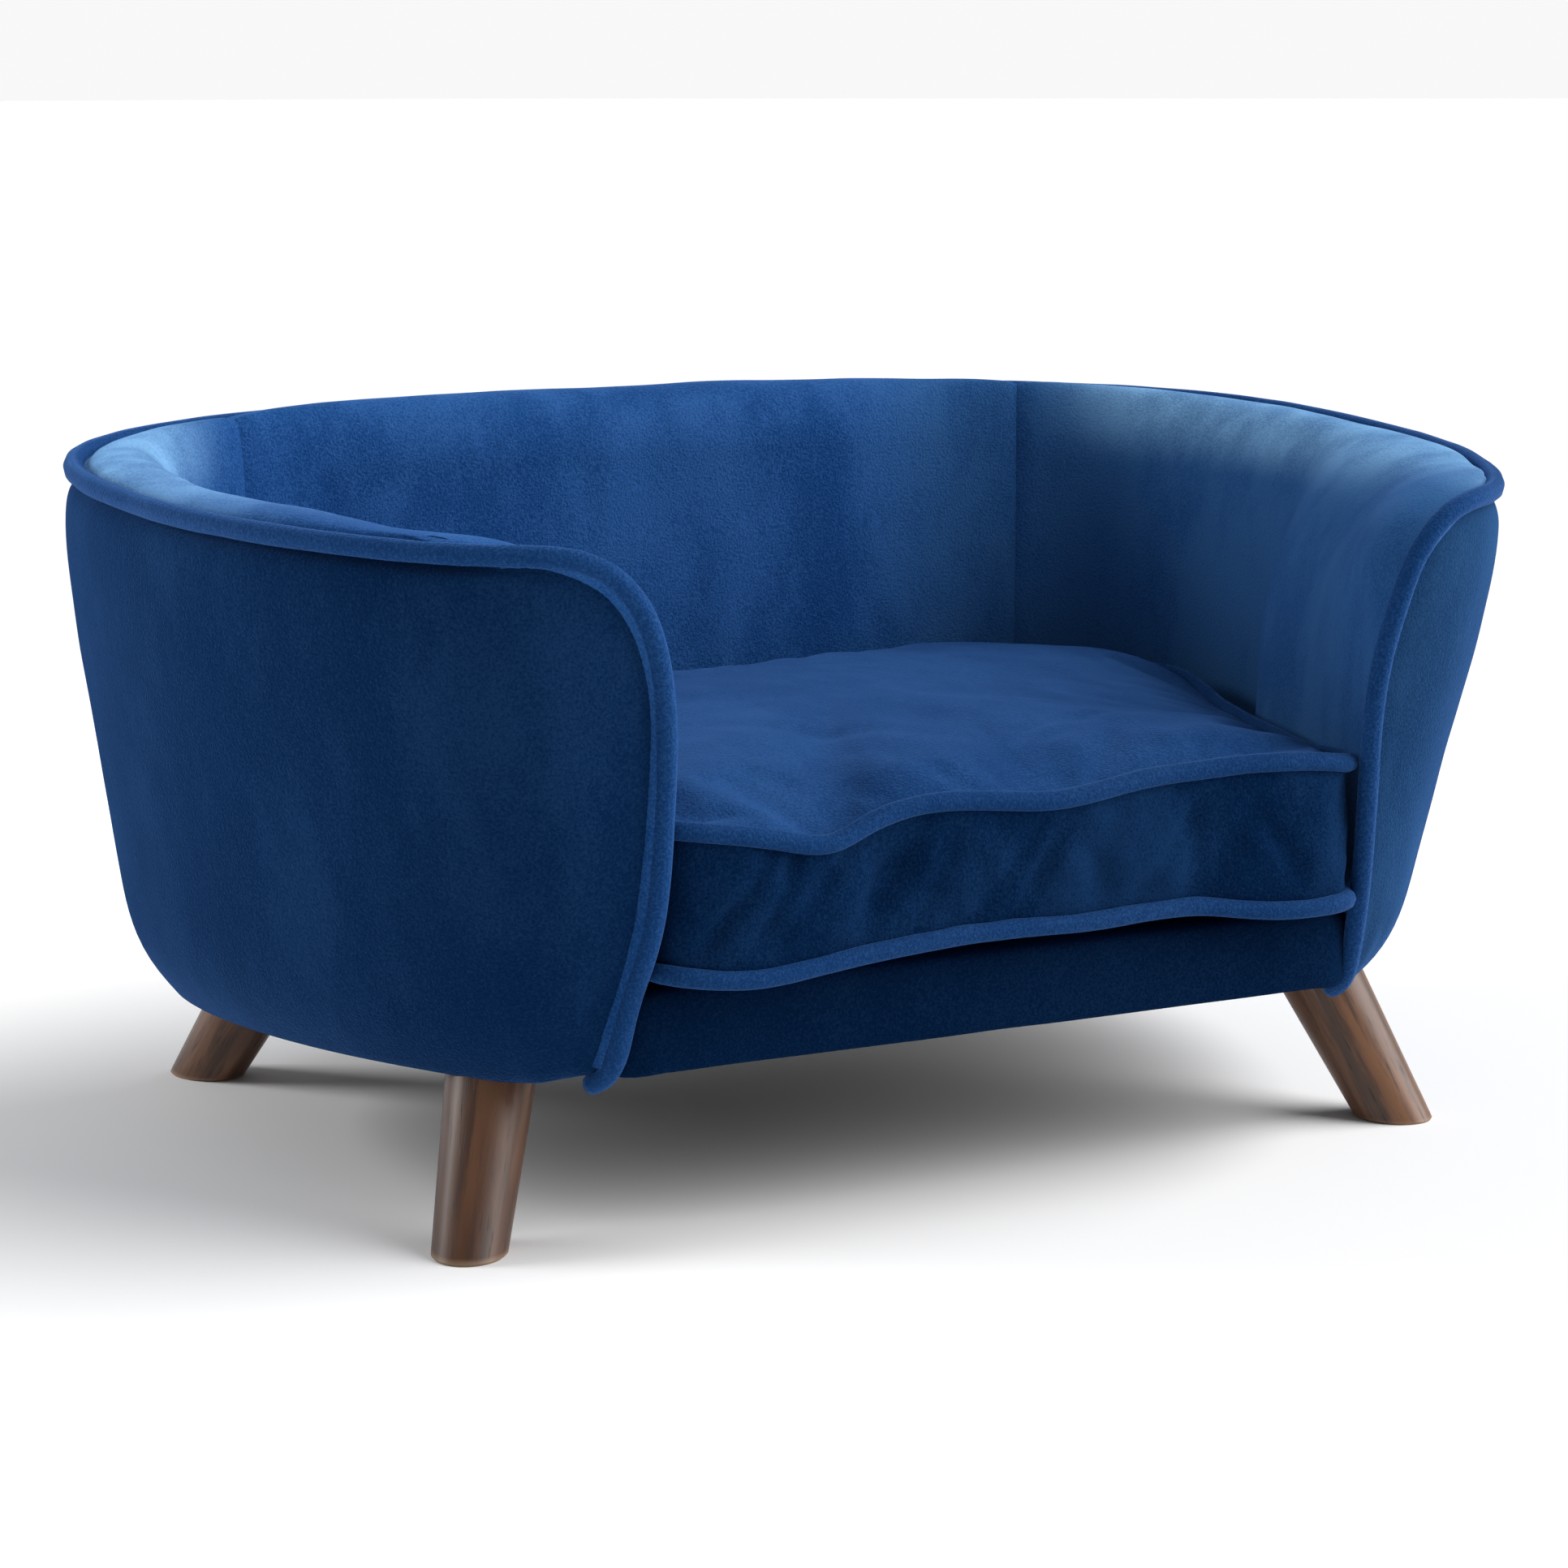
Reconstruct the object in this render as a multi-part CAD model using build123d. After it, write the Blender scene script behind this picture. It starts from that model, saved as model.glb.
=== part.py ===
from build123d import *
import os
from math import cos, hypot, radians, sin, sqrt, tan

# Upholstered pet sofa: an oval padded tub on four splayed wooden legs, with a loose seat cushion.
#
# Units are millimetres. The origin lies on the floor under the middle of the sofa, +X is to the
# right seen from the front, +Y is towards the back and +Z is up, so the open front faces -Y.

# ---------------------------------------------------------------- driving dimensions
half_width = 370.0          # rim piping centre line, from the middle to one side
back_depth = 228.0          # rim piping centre line, from the plan centre to the back
front_depth = 364.0         # the front half of the same oval, if it were closed
plan_centre_y = 21.0
back_squareness = 2.69      # exponent of the oval: 2 is an ellipse, larger is squarer
front_squareness = 1.98
oval_end_angle = 130.0      # the oval stops here and the cover turns in to the front edge

rim_back_height = 359.5
rim_front_height = 336.0
rim_front_y = -249.0
rim_rise_power = 1.4
crown_above_rim = 9.0       # the padded roll stands this much above the piping

floor_clearance = 90.0      # underside of the base panel
shell_bottom = 82.0
base_thickness = 15.0
deck_height = 130.7         # top of the platform that the cushion lies on
rib_height = 318.0
rib_thickness = 12.0
rib_width = 15.0

cover_thickness = 1.6
padding_thickness = 4.4
board_thickness = 3.0
post_depth = 15.0
piping_radius = 5.2
piping_offset = 1.0         # the joined arcs cut this much inside their points
gap = 0.1                   # between neighbouring layers of one body

cushion_bottom = 131.0
cushion_low_piping = 136.0
cushion_high_piping = 206.0
cushion_top = 210.0
cushion_piping_radius = 4.8
cushion_back_y = 175.0

leg_top_diameter = 45.0
leg_foot_diameter = 36.0
leg_top_height = 89.0
foot_chamfer = 1.2
front_foot = (266.0, -166.0)
back_foot = (262.0, 213.0)
front_lean = (0.36, 0.46)   # inward travel per millimetre of height, in X and in Y
back_lean = (0.32, 0.66)

bolt_diameter = 8.0
bolt_top = 109.0
bolt_bottom = 67.0
tee_flange_diameter = 19.0
tee_flange_thickness = 1.5
tee_barrel_diameter = 10.0
tee_barrel_length = 11.0

zip_height = 171.0
zip_half_length = 150.0
slot_half_height = 3.6
slider_x = 140.0

# depth of each layer below the outer surface of the shell
padding_depth = cover_thickness + gap
board_depth = padding_depth + padding_thickness + 8 * gap
post_layer_depth = board_depth + board_thickness + gap
lining_depth = post_layer_depth + post_depth + gap
foam_depth = lining_depth + board_thickness + gap
roll_depth = padding_depth + padding_thickness + 2.0
roll_bottom = rib_height + rib_thickness + gap
deck_foam_top = deck_height - cover_thickness


# ---------------------------------------------------------------- plan curves
def oval_point(angle):
    """Point of the rim oval at an angle from the back, in degrees, positive to the right."""
    side = abs(sin(radians(angle)))
    along = cos(radians(angle))
    depth, power = (back_depth, back_squareness) if along >= 0 else (front_depth, front_squareness)
    reach = ((side / half_width) ** power + (abs(along) / depth) ** power) ** (-1 / power)
    return reach * sin(radians(angle)), plan_centre_y + reach * along


def oval_normal(angle):
    """Unit vector that points out of the rim oval."""
    before, after = oval_point(angle - 0.5), oval_point(angle + 0.5)
    dx, dy = after[0] - before[0], after[1] - before[1]
    return -dy / hypot(dx, dy), dx / hypot(dx, dy)


def interpolate(table, value):
    """Straight-line interpolation in a short list of (input, output) pairs."""
    for (x0, y0), (x1, y1) in zip(table, table[1:]):
        if value <= x1:
            return y0 + (y1 - y0) * max(value - x0, 0) / (x1 - x0)
    return table[-1][1]


shell_taper = [(82, 38), (96, 29), (115, 22), (160, 14), (215, 7), (275, -1.3), (320, -4.4), (336, -1), (390, -1)]
front_taper = [(82, 19), (160, 15), (230, 10), (320, 4)]


def shell_inset(height, y):
    """How far the outer surface lies inside the rim oval at a height."""
    towards_front = min(max((40 - y) / 200, 0), 1)
    towards_back = min(max((y - 110) / 100, 0), 1)
    inset = interpolate(shell_taper, height)
    return inset * (1 - 0.55 * towards_back) + interpolate(front_taper, height) * towards_front


def rim_height(y):
    """Height of the piping on the rim: lowest at the front corners, highest at the back."""
    along = min(max((y - rim_front_y) / (plan_centre_y + back_depth - rim_front_y), 0), 1)
    return rim_front_height + (rim_back_height - rim_front_height) * along ** rim_rise_power


def front_edge(height):
    """Where the outer and inner covers of the right arm meet at the front, at a height."""
    above = (min(height, 275) - 180) / 100
    x = 197.7 - 5.6 * above + 7.5 * above ** 2
    y = -229.3 - 23.1 * above + 12.6 * above ** 2
    turn = min(max((height - 275) / 62, 0), 0.94)
    return x + 62 * (1 - sqrt(1 - turn ** 2)), y + 14 * turn ** 3


nose_point = (218, -165)
well_outline = [(0, 188), (80, 188), (150, 188), (203, 183), (243, 163), (273, 130), (288, 83), (280, 21)]
well_outline += [(240, -99), nose_point]


def roll_shift(height, y):
    """How far the rounded top of the pad has moved outwards at a height."""
    width = interpolate([(-200, 36), (-60, 54), (80, 50), (150, 26)], y)
    rise = interpolate([(-200, 60), (80, 60), (170, 38)], y)
    start = rim_height(y) + crown_above_rim - rise
    turn = min(max((height - start) / rise, 0), 0.97)
    return width * (1 - sqrt(1 - turn ** 2))


def nose_slope(height):
    """Sideways travel per millimetre of depth along the inner wall beside the front edge."""
    edge_x, edge_y = front_edge(height)
    shift = roll_shift(height, nose_point[1])
    return (nose_point[0] + shift - edge_x) / (nose_point[1] - 0.33 * shift - edge_y)


def shell_curve(height, depth, ends=0.0):
    """Points of the outer surface moved inwards by a depth, from the left end to the right end."""
    right = []
    for angle in (0, 20, 38, 54, 72, 90, 106, 120, oval_end_angle):
        (x, y), (nx, ny) = oval_point(angle), oval_normal(angle)
        inset = shell_inset(height, y) + depth
        right.append((x - inset * nx, y - inset * ny))
    x, y = front_edge(height)
    right.append((x + ends + nose_slope(height) * depth, y + depth))
    return [(-x, y) for x, y in reversed(right[1:])] + right


def well_curve(height, depth, ends=0.0):
    """Points of the inner surface moved into the pad by a depth, from the left end to the right."""
    edge_x, edge_y = front_edge(height)
    right = [*well_outline, (198, -228)]
    points = [(-x, y) for x, y in reversed(right[1:])] + right
    lean = 0.05 * (height - 200)
    moved = [(-edge_x - depth - nose_slope(height) * ends, edge_y + ends)]
    for before, point, after in zip(points, points[1:], points[2:]):
        dx, dy = after[0] - before[0], after[1] - before[1]
        shift = depth + roll_shift(height, point[1]) + lean * max(point[1], 0) / 188
        moved.append((point[0] - shift * dy / hypot(dx, dy), point[1] + shift * dx / hypot(dx, dy)))
    moved.append((edge_x + depth + nose_slope(height) * ends, edge_y + ends))
    return moved


section_heights = (82, 96, 115, 128, 160, 200, 230, 252, 275, 290, 305, 320, 333, 345, 358, 372)


def sections(low, high):
    """Heights at which a shape between two heights is sliced, the same for every layer."""
    return [low, *[height for height in section_heights if low < height < high], high]


def curve(points, height):
    """Smooth edge through plan points at one height."""
    return Edge.make_spline([Vector(x, y, height) for x, y in points])


# ---------------------------------------------------------------- shapes made of level slices
def band(low, high, front_curve, rear_curve, depth, thickness):
    """Thin C-shaped shell between two depths below a surface that is given by its plan curves."""
    slices = []
    for height in sections(low, high):
        front, rear = front_curve(height, depth), rear_curve(height, depth + thickness)
        edges = [curve(front, height), curve(rear, height)]
        edges += [Edge.make_line((*front[i], height), (*rear[i], height)) for i in (0, -1)]
        slices.append(Wire(edges))
    return Solid.make_loft(slices, ruled=True)


def layer(low, high, depth, thickness):
    """Thin C-shaped shell that follows the outer surface at a depth below it."""
    return band(low, high, wall_curve, wall_curve, depth, thickness)


def lining(low, high, depth, thickness):
    """Thin C-shaped shell that follows the inner surface at a depth behind it."""
    return band(low, high, seat_curve, seat_curve, depth, thickness)


def wall_curve(height, depth):
    """Plan curve of a layer of the outer wall, ending short of the front piping."""
    return shell_curve(height, depth, ends=7)


def seat_curve(height, depth):
    """Plan curve of a layer of the inner wall, ending short of the front piping."""
    return well_curve(height, depth, ends=8)


def pad(low, high, shell_depth, well_depth):
    """C-shaped body between the outer surface and the inner surface, each moved by a depth."""
    slices = []
    for height in sections(low, high):
        outside = shell_curve(height, shell_depth, ends=well_depth)
        inside = well_curve(height, well_depth, ends=shell_depth)
        slices.append(Wire([curve(outside, height), curve(inside, height)]))
    return Solid.make_loft(slices, ruled=True)


def inside(low, high, plan_curve, depth):
    """Everything inside the outer surface moved inwards by a depth, with a straight front edge."""
    slices = []
    for height in sections(low, high):
        points = plan_curve(height, depth)
        line = Edge.make_line((*points[-1], height), (*points[0], height))
        slices.append(Wire([curve(points, height), line]))
    return Solid.make_loft(slices, ruled=True)


def under_rim(offset):
    """Everything below the rim line raised by an offset, as a cutting tool."""
    line = [(y, rim_height(y) + offset) for y in (-300, -249, -150, -50, 50, 120, 180, 222, 245, 300)]
    top = Edge.make_spline([Vector(-450, y, z) for y, z in line])
    floor = [Vector(-450, line[-1][0], line[-1][1]), Vector(-450, 300, 20), Vector(-450, -300, 20)]
    floor.append(Vector(-450, line[0][0], line[0][1]))
    side = Face(Wire([top, *[Edge.make_line(a, b) for a, b in zip(floor, floor[1:])]]))
    return extrude(side, 900, dir=(1, 0, 0))


def smooth_path(points, closed=False):
    """Straight runs joined by the largest tangent arcs that the runs leave room for."""
    loop = points[-1:] + points + points[:1] if closed else points
    radii = []
    for before, point, after in zip(loop, loop[1:], loop[2:]):
        run_in, run_out = Vector(*point) - Vector(*before), Vector(*after) - Vector(*point)
        half_turn = radians(run_in.get_angle(run_out)) / 2
        radii.append(0.45 * min(run_in.length, run_out.length) / tan(half_turn))
    return FilletPolyline(*points, radius=radii, close=closed)


def piping(path, radius):
    """Round piping along a path."""
    start = Plane(origin=path @ 0, z_dir=path % 0)
    return sweep(start * Circle(radius), path=path)


def mirrored(shape):
    """Both copies of a right-hand part."""
    return [shape, shape.mirror(Plane.YZ)]


def post(angle):
    """Upright between the base and the top rib, sawn to the curve of the shell wall."""
    low, high = floor_clearance + base_thickness + gap, rib_height - gap
    faces = []
    for height in sections(low, high):
        (x, y), (nx, ny) = oval_point(angle), oval_normal(angle)
        inset = shell_inset(height, y) + post_layer_depth + post_depth / 2
        face = Plane(origin=(x - inset * nx, y - inset * ny, height), x_dir=(nx, ny, 0), z_dir=(0, 0, 1))
        faces.append(face * Rectangle(post_depth - 3, 40))
    return loft(faces, ruled=True) & inside(low, high, wall_curve, post_layer_depth)


def leg(foot, lean):
    """Round tapered leg, leaning outwards to its foot and cut level at both ends."""
    axis = Vector(-lean[0], lean[1] if foot[1] < 0 else -lean[1], 1)
    growth = (leg_top_diameter - leg_foot_diameter) / 2 / leg_top_height
    overrun = 30
    start = Vector(*foot, 0) - axis * overrun
    low, high = [leg_foot_diameter / 2 + growth * h for h in (-overrun, leg_top_height + overrun)]
    length = (axis * (leg_top_height + 2 * overrun)).length
    taper = Solid.make_cone(low, high, length, plane=Plane(origin=start, z_dir=axis))
    cut = taper & block((0, 500), (-400, 400), (0, leg_top_height))
    return chamfer(cut.edges().group_by(Axis.Z)[0], foot_chamfer)


def leg_top(foot, lean):
    """Centre of a leg's upper face."""
    inward = lean[1] if foot[1] < 0 else -lean[1]
    return foot[0] - lean[0] * leg_top_height, foot[1] + inward * leg_top_height


def block(x, y, z):
    """Box between two limits along each axis."""
    size = [high - low for low, high in (x, y, z)]
    middle = [(high + low) / 2 for low, high in (x, y, z)]
    return Pos(*middle) * Box(*size)


def rod(x, y, low, high, radius):
    """Upright cylinder between two heights."""
    return Pos(x, y, (low + high) / 2) * Cylinder(radius, high - low)


def slab(points, low, high):
    """Level panel with a smooth outline that is closed by a straight front edge."""
    edges = [curve(points, low), Edge.make_line((*points[-1], low), (*points[0], low))]
    return extrude(Face(Wire(edges)), high - low, dir=(0, 0, 1))


def cushion_outline():
    """Closed outline of the cushion at the centre line of its piping."""
    right = [(183, -229), (262, 12), (268, 78), (250, 126), (205, cushion_back_y)]
    corners = right + [(-x, y) for x, y in reversed(right)]
    radii = [16, 200, 60, 40, 60]
    return FilletPolyline(*corners, radius=radii + radii[::-1], close=True)


def cushion_slab(inset, low, high):
    """Level slice of the cushion, smaller than its outline by an inset."""
    face = make_face(Pos(0, 0, low) * cushion_outline())
    if inset:
        face = offset(face, amount=-inset)
    return extrude(face, high - low, dir=(0, 0, 1))


# ---------------------------------------------------------------- sub-parts
base_top = floor_clearance + base_thickness
rail_front_y = -203.0
rail_back_y = -187.0
wall_bottom = 128.0
wall_top = 330.0
rib_front_y = -208.0        # the rib stops short of the rounded front corners
seam_x = 240.0
leg_sites = [(front_foot, front_lean), (back_foot, back_lean)]
bolt_sites = [(side * leg_top(*site)[0], leg_top(*site)[1]) for site in leg_sites for side in (1, -1)]
post_angles = {"back": 22.0, "side": 74.0, "arm": 112.0}
screw_radius = 2.0


def piping_path():
    """Centre line of the piping: round the rim and down the front edge of each arm."""
    right = []
    for angle in range(0, 126, 8):
        (x, y), (nx, ny) = oval_point(angle), oval_normal(angle)
        right.append((x + piping_offset * nx, y + piping_offset * ny, rim_height(y)))
    right += [(264, -229, 336), (231, -243, 331), (211, -246, 312)]
    right += [(*front_edge(height), height) for height in (272, 227, 182, 137, 94)]
    return smooth_path([(-x, y, z) for x, y, z in reversed(right[1:])] + right)


def post_screw_sites():
    """Where a screw comes up through the base into each post."""
    sites = []
    for angle in post_angles.values():
        (x, y), (nx, ny) = oval_point(angle), oval_normal(angle)
        inset = shell_inset(base_top, y) + post_layer_depth + post_depth / 2
        sites += [(side * (x - inset * nx), y - inset * ny) for side in (1, -1)]
    return sites


def make_frame():
    """Plywood base, posts, top rib, front rail and the boards that carry the padding."""
    base = inside(floor_clearance, base_top, shell_curve, roll_depth)
    base -= block((-190, 190), (-300, rail_back_y + gap), (80, 120))
    rail = block((-188, 188), (rail_front_y, rail_back_y), (floor_clearance, 124))
    for x in (-150, -55, 55, 150):
        screw_hole = Pos(x, rail_back_y, 97.5) * Rot(90, 0, 0) * Cylinder(screw_radius + 0.05, 42)
        base, rail = base - screw_hole, rail - screw_hole
    for x, y in bolt_sites:
        base -= rod(x, y, 80, 120, tee_barrel_diameter / 2 + 0.1)
    for x, y in post_screw_sites():
        base -= rod(x, y, 80, 120, screw_radius + 0.05)
    parts = {"base_panel": base, "front_rail": rail}
    for name, angle in post_angles.items():
        (x, y), (nx, ny) = oval_point(angle), oval_normal(angle)
        inset = shell_inset(base_top, y) + post_layer_depth + post_depth / 2
        upright = post(angle) - rod(x - inset * nx, y - inset * ny, 80, 126, screw_radius + 0.05)
        parts[name + "_post_right"], parts[name + "_post_left"] = mirrored(upright)
    rib = layer(rib_height, wall_top, post_layer_depth, rib_width)
    parts["top_rib"] = rib & block((-400, 400), (rib_front_y, 300), (rib_height - 1, wall_top + 1))
    parts["outer_board"] = layer(base_top + gap, wall_top, board_depth, board_thickness)
    parts["lining_board"] = layer(wall_bottom, wall_top, lining_depth, board_thickness)
    return parts


def make_screws():
    """Wood screws of the front rail and of the posts."""
    rail = [Pos(x, rail_back_y + 1, 97.5) * Rot(90, 0, 0) * Cylinder(screw_radius, 32)
            for x in (-150, -55, 55, 150)]
    posts = [rod(x, y, floor_clearance + 0.5, 125, screw_radius) for x, y in post_screw_sites()]
    return {"rail_screws": Compound(rail), "post_screws": Compound(posts)}


def back_region():
    """Box round everything between the two seams of the inner back."""
    return block((-seam_x, seam_x), (60, 300), (100, 400))


def side_half(shape):
    """The right-hand piece of a C-shaped body, from the seam of the inner back to the front."""
    side = shape - block((-seam_x - gap, seam_x + gap), (60, 300), (100, 400))
    return side & block((0, 420), (-300, 300), (100, 400))


def make_tub_padding():
    """Foam and wadding of the tub."""
    wadding = layer(86, 358, padding_depth, padding_thickness)
    foam = pad(wall_bottom, wall_top, foam_depth + 1, padding_depth + 2)
    roll = pad(roll_bottom, 372, roll_depth + 1, padding_depth + 1)
    parts = {"back_foam": foam & back_region()}
    parts["right_foam"], parts["left_foam"] = mirrored(side_half(foam))
    parts["outer_padding"] = wadding & under_rim(-6)
    parts["rim_roll"] = roll & under_rim(crown_above_rim - padding_depth)
    return parts


def make_tub_covers():
    """Velvet covers of the tub: one round the outside, three panels inside, and the piping."""
    outer = layer(shell_bottom, 358, 0, cover_thickness)
    cap = pad(roll_bottom, 372, roll_depth, cover_thickness) & under_rim(crown_above_rim)
    cap -= under_rim(crown_above_rim - cover_thickness)
    inner = lining(wall_bottom, 372, 0, cover_thickness)
    back = ((inner & under_rim(crown_above_rim)) + cap) & back_region()
    wall = side_half(inner & under_rim(crown_above_rim - cover_thickness))
    right = Compound([*wall.solids(), *side_half(cap).solids()])
    parts = {"inner_back_cover": back}
    parts["inner_right_cover"], parts["inner_left_cover"] = mirrored(right)
    parts["outer_cover"] = outer & under_rim(-6)
    parts["rim_piping"] = piping(piping_path(), piping_radius)
    return parts


def make_front_and_deck():
    """Upholstered front rail, the platform under the cushion and the dust cover below."""
    front = rail_front_y - gap
    rail_foam = block((-188, 188), (front - 7, front), (92, deck_foam_top))
    rail_foam += block((-188, 188), (front - 7, rail_back_y), (124 + gap, deck_foam_top))
    rail_cover = block((-188, 188), (front - 8.7, front - 7.1), (floor_clearance, deck_height))
    rail_cover += block((-188, 188), (front - 8.7, rail_back_y), (deck_foam_top + gap, deck_height))
    well = slab(well_curve(128, -3), base_top + gap, deck_foam_top)
    foam = well - block((-400, 400), (-400, rail_back_y + gap), (80, 200))
    for x, y in bolt_sites:
        foam -= rod(x, y, base_top, bolt_top + 2, tee_flange_diameter / 2 + 2)
    cloth = slab(well_curve(128, -3), deck_foam_top + gap, deck_height)
    cloth -= block((-400, 400), (-400, rail_back_y + gap), (80, 200))
    dust = slab(shell_curve(floor_clearance, 22), floor_clearance - 0.9, floor_clearance - 0.1)
    dust -= block((-190, 190), (-300, rail_back_y), (80, 120))
    for x, y in bolt_sites:
        dust -= rod(x, y, 80, 120, bolt_diameter / 2 + 0.3)
    return {"front_rail_foam": rail_foam, "front_rail_cover": rail_cover,
            "deck_foam": foam, "deck_cloth": cloth, "dust_cover": dust}


def make_legs():
    """Four splayed legs and the bolts and tee nuts that hold them to the base."""
    parts = {}
    for place, (foot, lean) in zip(("front", "back"), leg_sites):
        x, y = leg_top(foot, lean)
        turned = leg(foot, lean) - rod(x, y, bolt_bottom, 200, bolt_diameter / 2 + 0.05)
        parts[place + "_leg_right"], parts[place + "_leg_left"] = mirrored(turned)
    bolts, nuts = [], []
    for x, y in bolt_sites:
        bolts.append(rod(x, y, bolt_bottom, bolt_top, bolt_diameter / 2))
        nut = rod(x, y, base_top, base_top + tee_flange_thickness, tee_flange_diameter / 2)
        nut += rod(x, y, base_top - tee_barrel_length, base_top, tee_barrel_diameter / 2)
        nuts.append(nut - rod(x, y, 80, 120, bolt_diameter / 2 + 0.05))
    parts["leg_bolts"] = Compound(bolts)
    parts["tee_nuts"] = Compound(nuts)
    return parts


def make_cushion():
    """Loose boxed cushion with piped edges and a zip along its back."""
    inset = cushion_piping_radius + 0.2
    low, high = cushion_low_piping + inset, cushion_high_piping - inset
    core = cushion_slab(inset, cushion_bottom + cover_thickness + gap, cushion_top - cover_thickness - gap)
    core += cushion_slab(cover_thickness + gap, low, high)
    band = cushion_slab(0, low, high) - cushion_slab(cover_thickness, low, high)
    rear = block((-165, 165), (100, 300), (low, high))
    slot = block((-158, 158), (100, 300), (zip_height - slot_half_height, zip_height + slot_half_height))
    strips = (band & rear) - slot
    loop = cushion_outline()
    inner_y = cushion_back_y - cover_thickness
    zip_x = (-zip_half_length, zip_half_length)
    return {
        "cushion_core": core,
        "cushion_top_panel": cushion_slab(inset, cushion_top - cover_thickness, cushion_top),
        "cushion_bottom_panel": cushion_slab(inset, cushion_bottom, cushion_bottom + cover_thickness),
        "cushion_boxing": band - block((-165 - gap, 165 + gap), (100, 300), (low - 5, high + 5)),
        "zip_boxing": strips,
        "cushion_top_piping": piping(Pos(0, 0, cushion_high_piping) * loop, cushion_piping_radius),
        "cushion_bottom_piping": piping(Pos(0, 0, cushion_low_piping) * loop, cushion_piping_radius),
        "zip_tape": block(zip_x, (inner_y + 0.05, inner_y + 0.6), (zip_height - 3.5, zip_height + 3.5)),
        "zip_teeth": block(zip_x, (inner_y + 0.65, inner_y + 1.9), (zip_height - 1.5, zip_height + 1.5)),
    }


def make_zip_slider():
    """Slider that clips over the zip teeth, with the pull tab hinged on its bail."""
    y = cushion_back_y
    bail_y = y + 4.8
    slider = block((-5, 5), (y + 0.6, y + 2.6), (zip_height - 4, zip_height + 4))
    for side in (1, -1):
        low, high = sorted((zip_height + side * 1.8, zip_height + side * 3.1))
        slider += block((-5, 5), (y - 0.7, y + 0.6), (low, high))
        low, high = sorted((zip_height + side * 2.4, zip_height + side * 3.6))
        slider += block((-1.2, 1.2), (y + 2.6, bail_y + 1.2), (low, high))
    slider += rod(0, bail_y, zip_height - 2.4, zip_height + 2.4, 0.7)
    pull = rod(0, bail_y, zip_height - 2.1, zip_height + 2.1, 1.9)
    pull += block((1, 15), (bail_y - 0.5, bail_y + 0.5), (zip_height - 2.1, zip_height + 2.1))
    pull -= rod(0, bail_y, zip_height - 3, zip_height + 3, 0.95)
    return {"zip_slider": Pos(slider_x, 0, 0) * slider, "zip_pull": Pos(slider_x, 0, 0) * pull}


def main():
    """Write one STEP file for each sub-part."""
    os.makedirs("parts", exist_ok=True)
    makers = [make_frame, make_screws, make_tub_padding, make_tub_covers, make_front_and_deck]
    makers += [make_legs, make_cushion, make_zip_slider]
    for make in makers:
        for name, shape in make().items():
            solid = Compound(list(shape.solids()))
            export_step(solid if len(shape.solids()) > 1 else shape.solids()[0], f"parts/{name}.step")


if __name__ == "__main__":
    main()
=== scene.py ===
"""Looks of an upholstered pet sofa: an oval velvet tub on splayed wooden legs with a loose cushion.

Lengths are in metres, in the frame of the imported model: +X right, +Y to the back, +Z up, and the
open front faces -Y. Each sub-assembly is a class that builds its pieces and dresses them.
"""
from __future__ import annotations

import logging
import math
from collections.abc import Callable
from dataclasses import dataclass, field
from enum import Enum
from functools import partial

import bpy
import numpy as np
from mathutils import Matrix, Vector


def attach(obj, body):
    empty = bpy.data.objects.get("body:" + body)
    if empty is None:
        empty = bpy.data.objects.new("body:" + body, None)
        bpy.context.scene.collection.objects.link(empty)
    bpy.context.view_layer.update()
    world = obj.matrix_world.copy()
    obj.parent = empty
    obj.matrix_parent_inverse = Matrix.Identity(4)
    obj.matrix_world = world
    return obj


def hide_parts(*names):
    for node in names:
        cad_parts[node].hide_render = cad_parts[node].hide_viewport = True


logging.basicConfig(level=logging.INFO, format="%(message)s")
log = logging.getLogger("pet_sofa")

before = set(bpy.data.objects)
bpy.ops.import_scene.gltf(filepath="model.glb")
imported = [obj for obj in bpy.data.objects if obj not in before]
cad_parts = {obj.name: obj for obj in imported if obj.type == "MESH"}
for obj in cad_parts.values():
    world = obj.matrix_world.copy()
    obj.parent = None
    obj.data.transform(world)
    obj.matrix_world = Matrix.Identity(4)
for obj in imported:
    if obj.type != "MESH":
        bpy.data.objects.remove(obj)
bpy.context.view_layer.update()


# ------------------------------------------------------------------------------------ geometry
def spline_matrix(knots: np.ndarray, samples: np.ndarray) -> np.ndarray:
    """Weights that take values at knots to values of the natural cubic spline at samples.

    Args:
        knots: rising parameter of each control point.
        samples: parameters to evaluate, inside the range of the knots.

    Returns:
        One row of weights for each sample.
    """
    count = len(knots)
    step = np.diff(knots)
    curvature = np.eye(count)
    slope = np.zeros((count, count))
    for i in range(1, count - 1):
        curvature[i, i - 1] = step[i - 1]
        curvature[i, i] = 2 * (step[i - 1] + step[i])
        curvature[i, i + 1] = step[i]
        slope[i, i - 1] = 6 / step[i - 1]
        slope[i, i + 1] = 6 / step[i]
        slope[i, i] = -6 / step[i - 1] - 6 / step[i]
    second = np.linalg.solve(curvature, slope)
    weights = np.zeros((len(samples), count))
    for row, value in enumerate(samples):
        i = int(np.clip(np.searchsorted(knots, value) - 1, 0, count - 2))
        low, high = (knots[i + 1] - value) / step[i], (value - knots[i]) / step[i]
        weights[row, i] += low
        weights[row, i + 1] += high
        weights[row] += ((low**3 - low) * second[i] + (high**3 - high) * second[i + 1]) * step[i] ** 2 / 6
    return weights


def chord_knots(points: np.ndarray) -> np.ndarray:
    """Running length along a line of points, as shares of the whole."""
    length = np.concatenate([[0.0], np.cumsum(np.linalg.norm(np.diff(points, axis=0), axis=1))])
    return length / length[-1]


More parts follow.
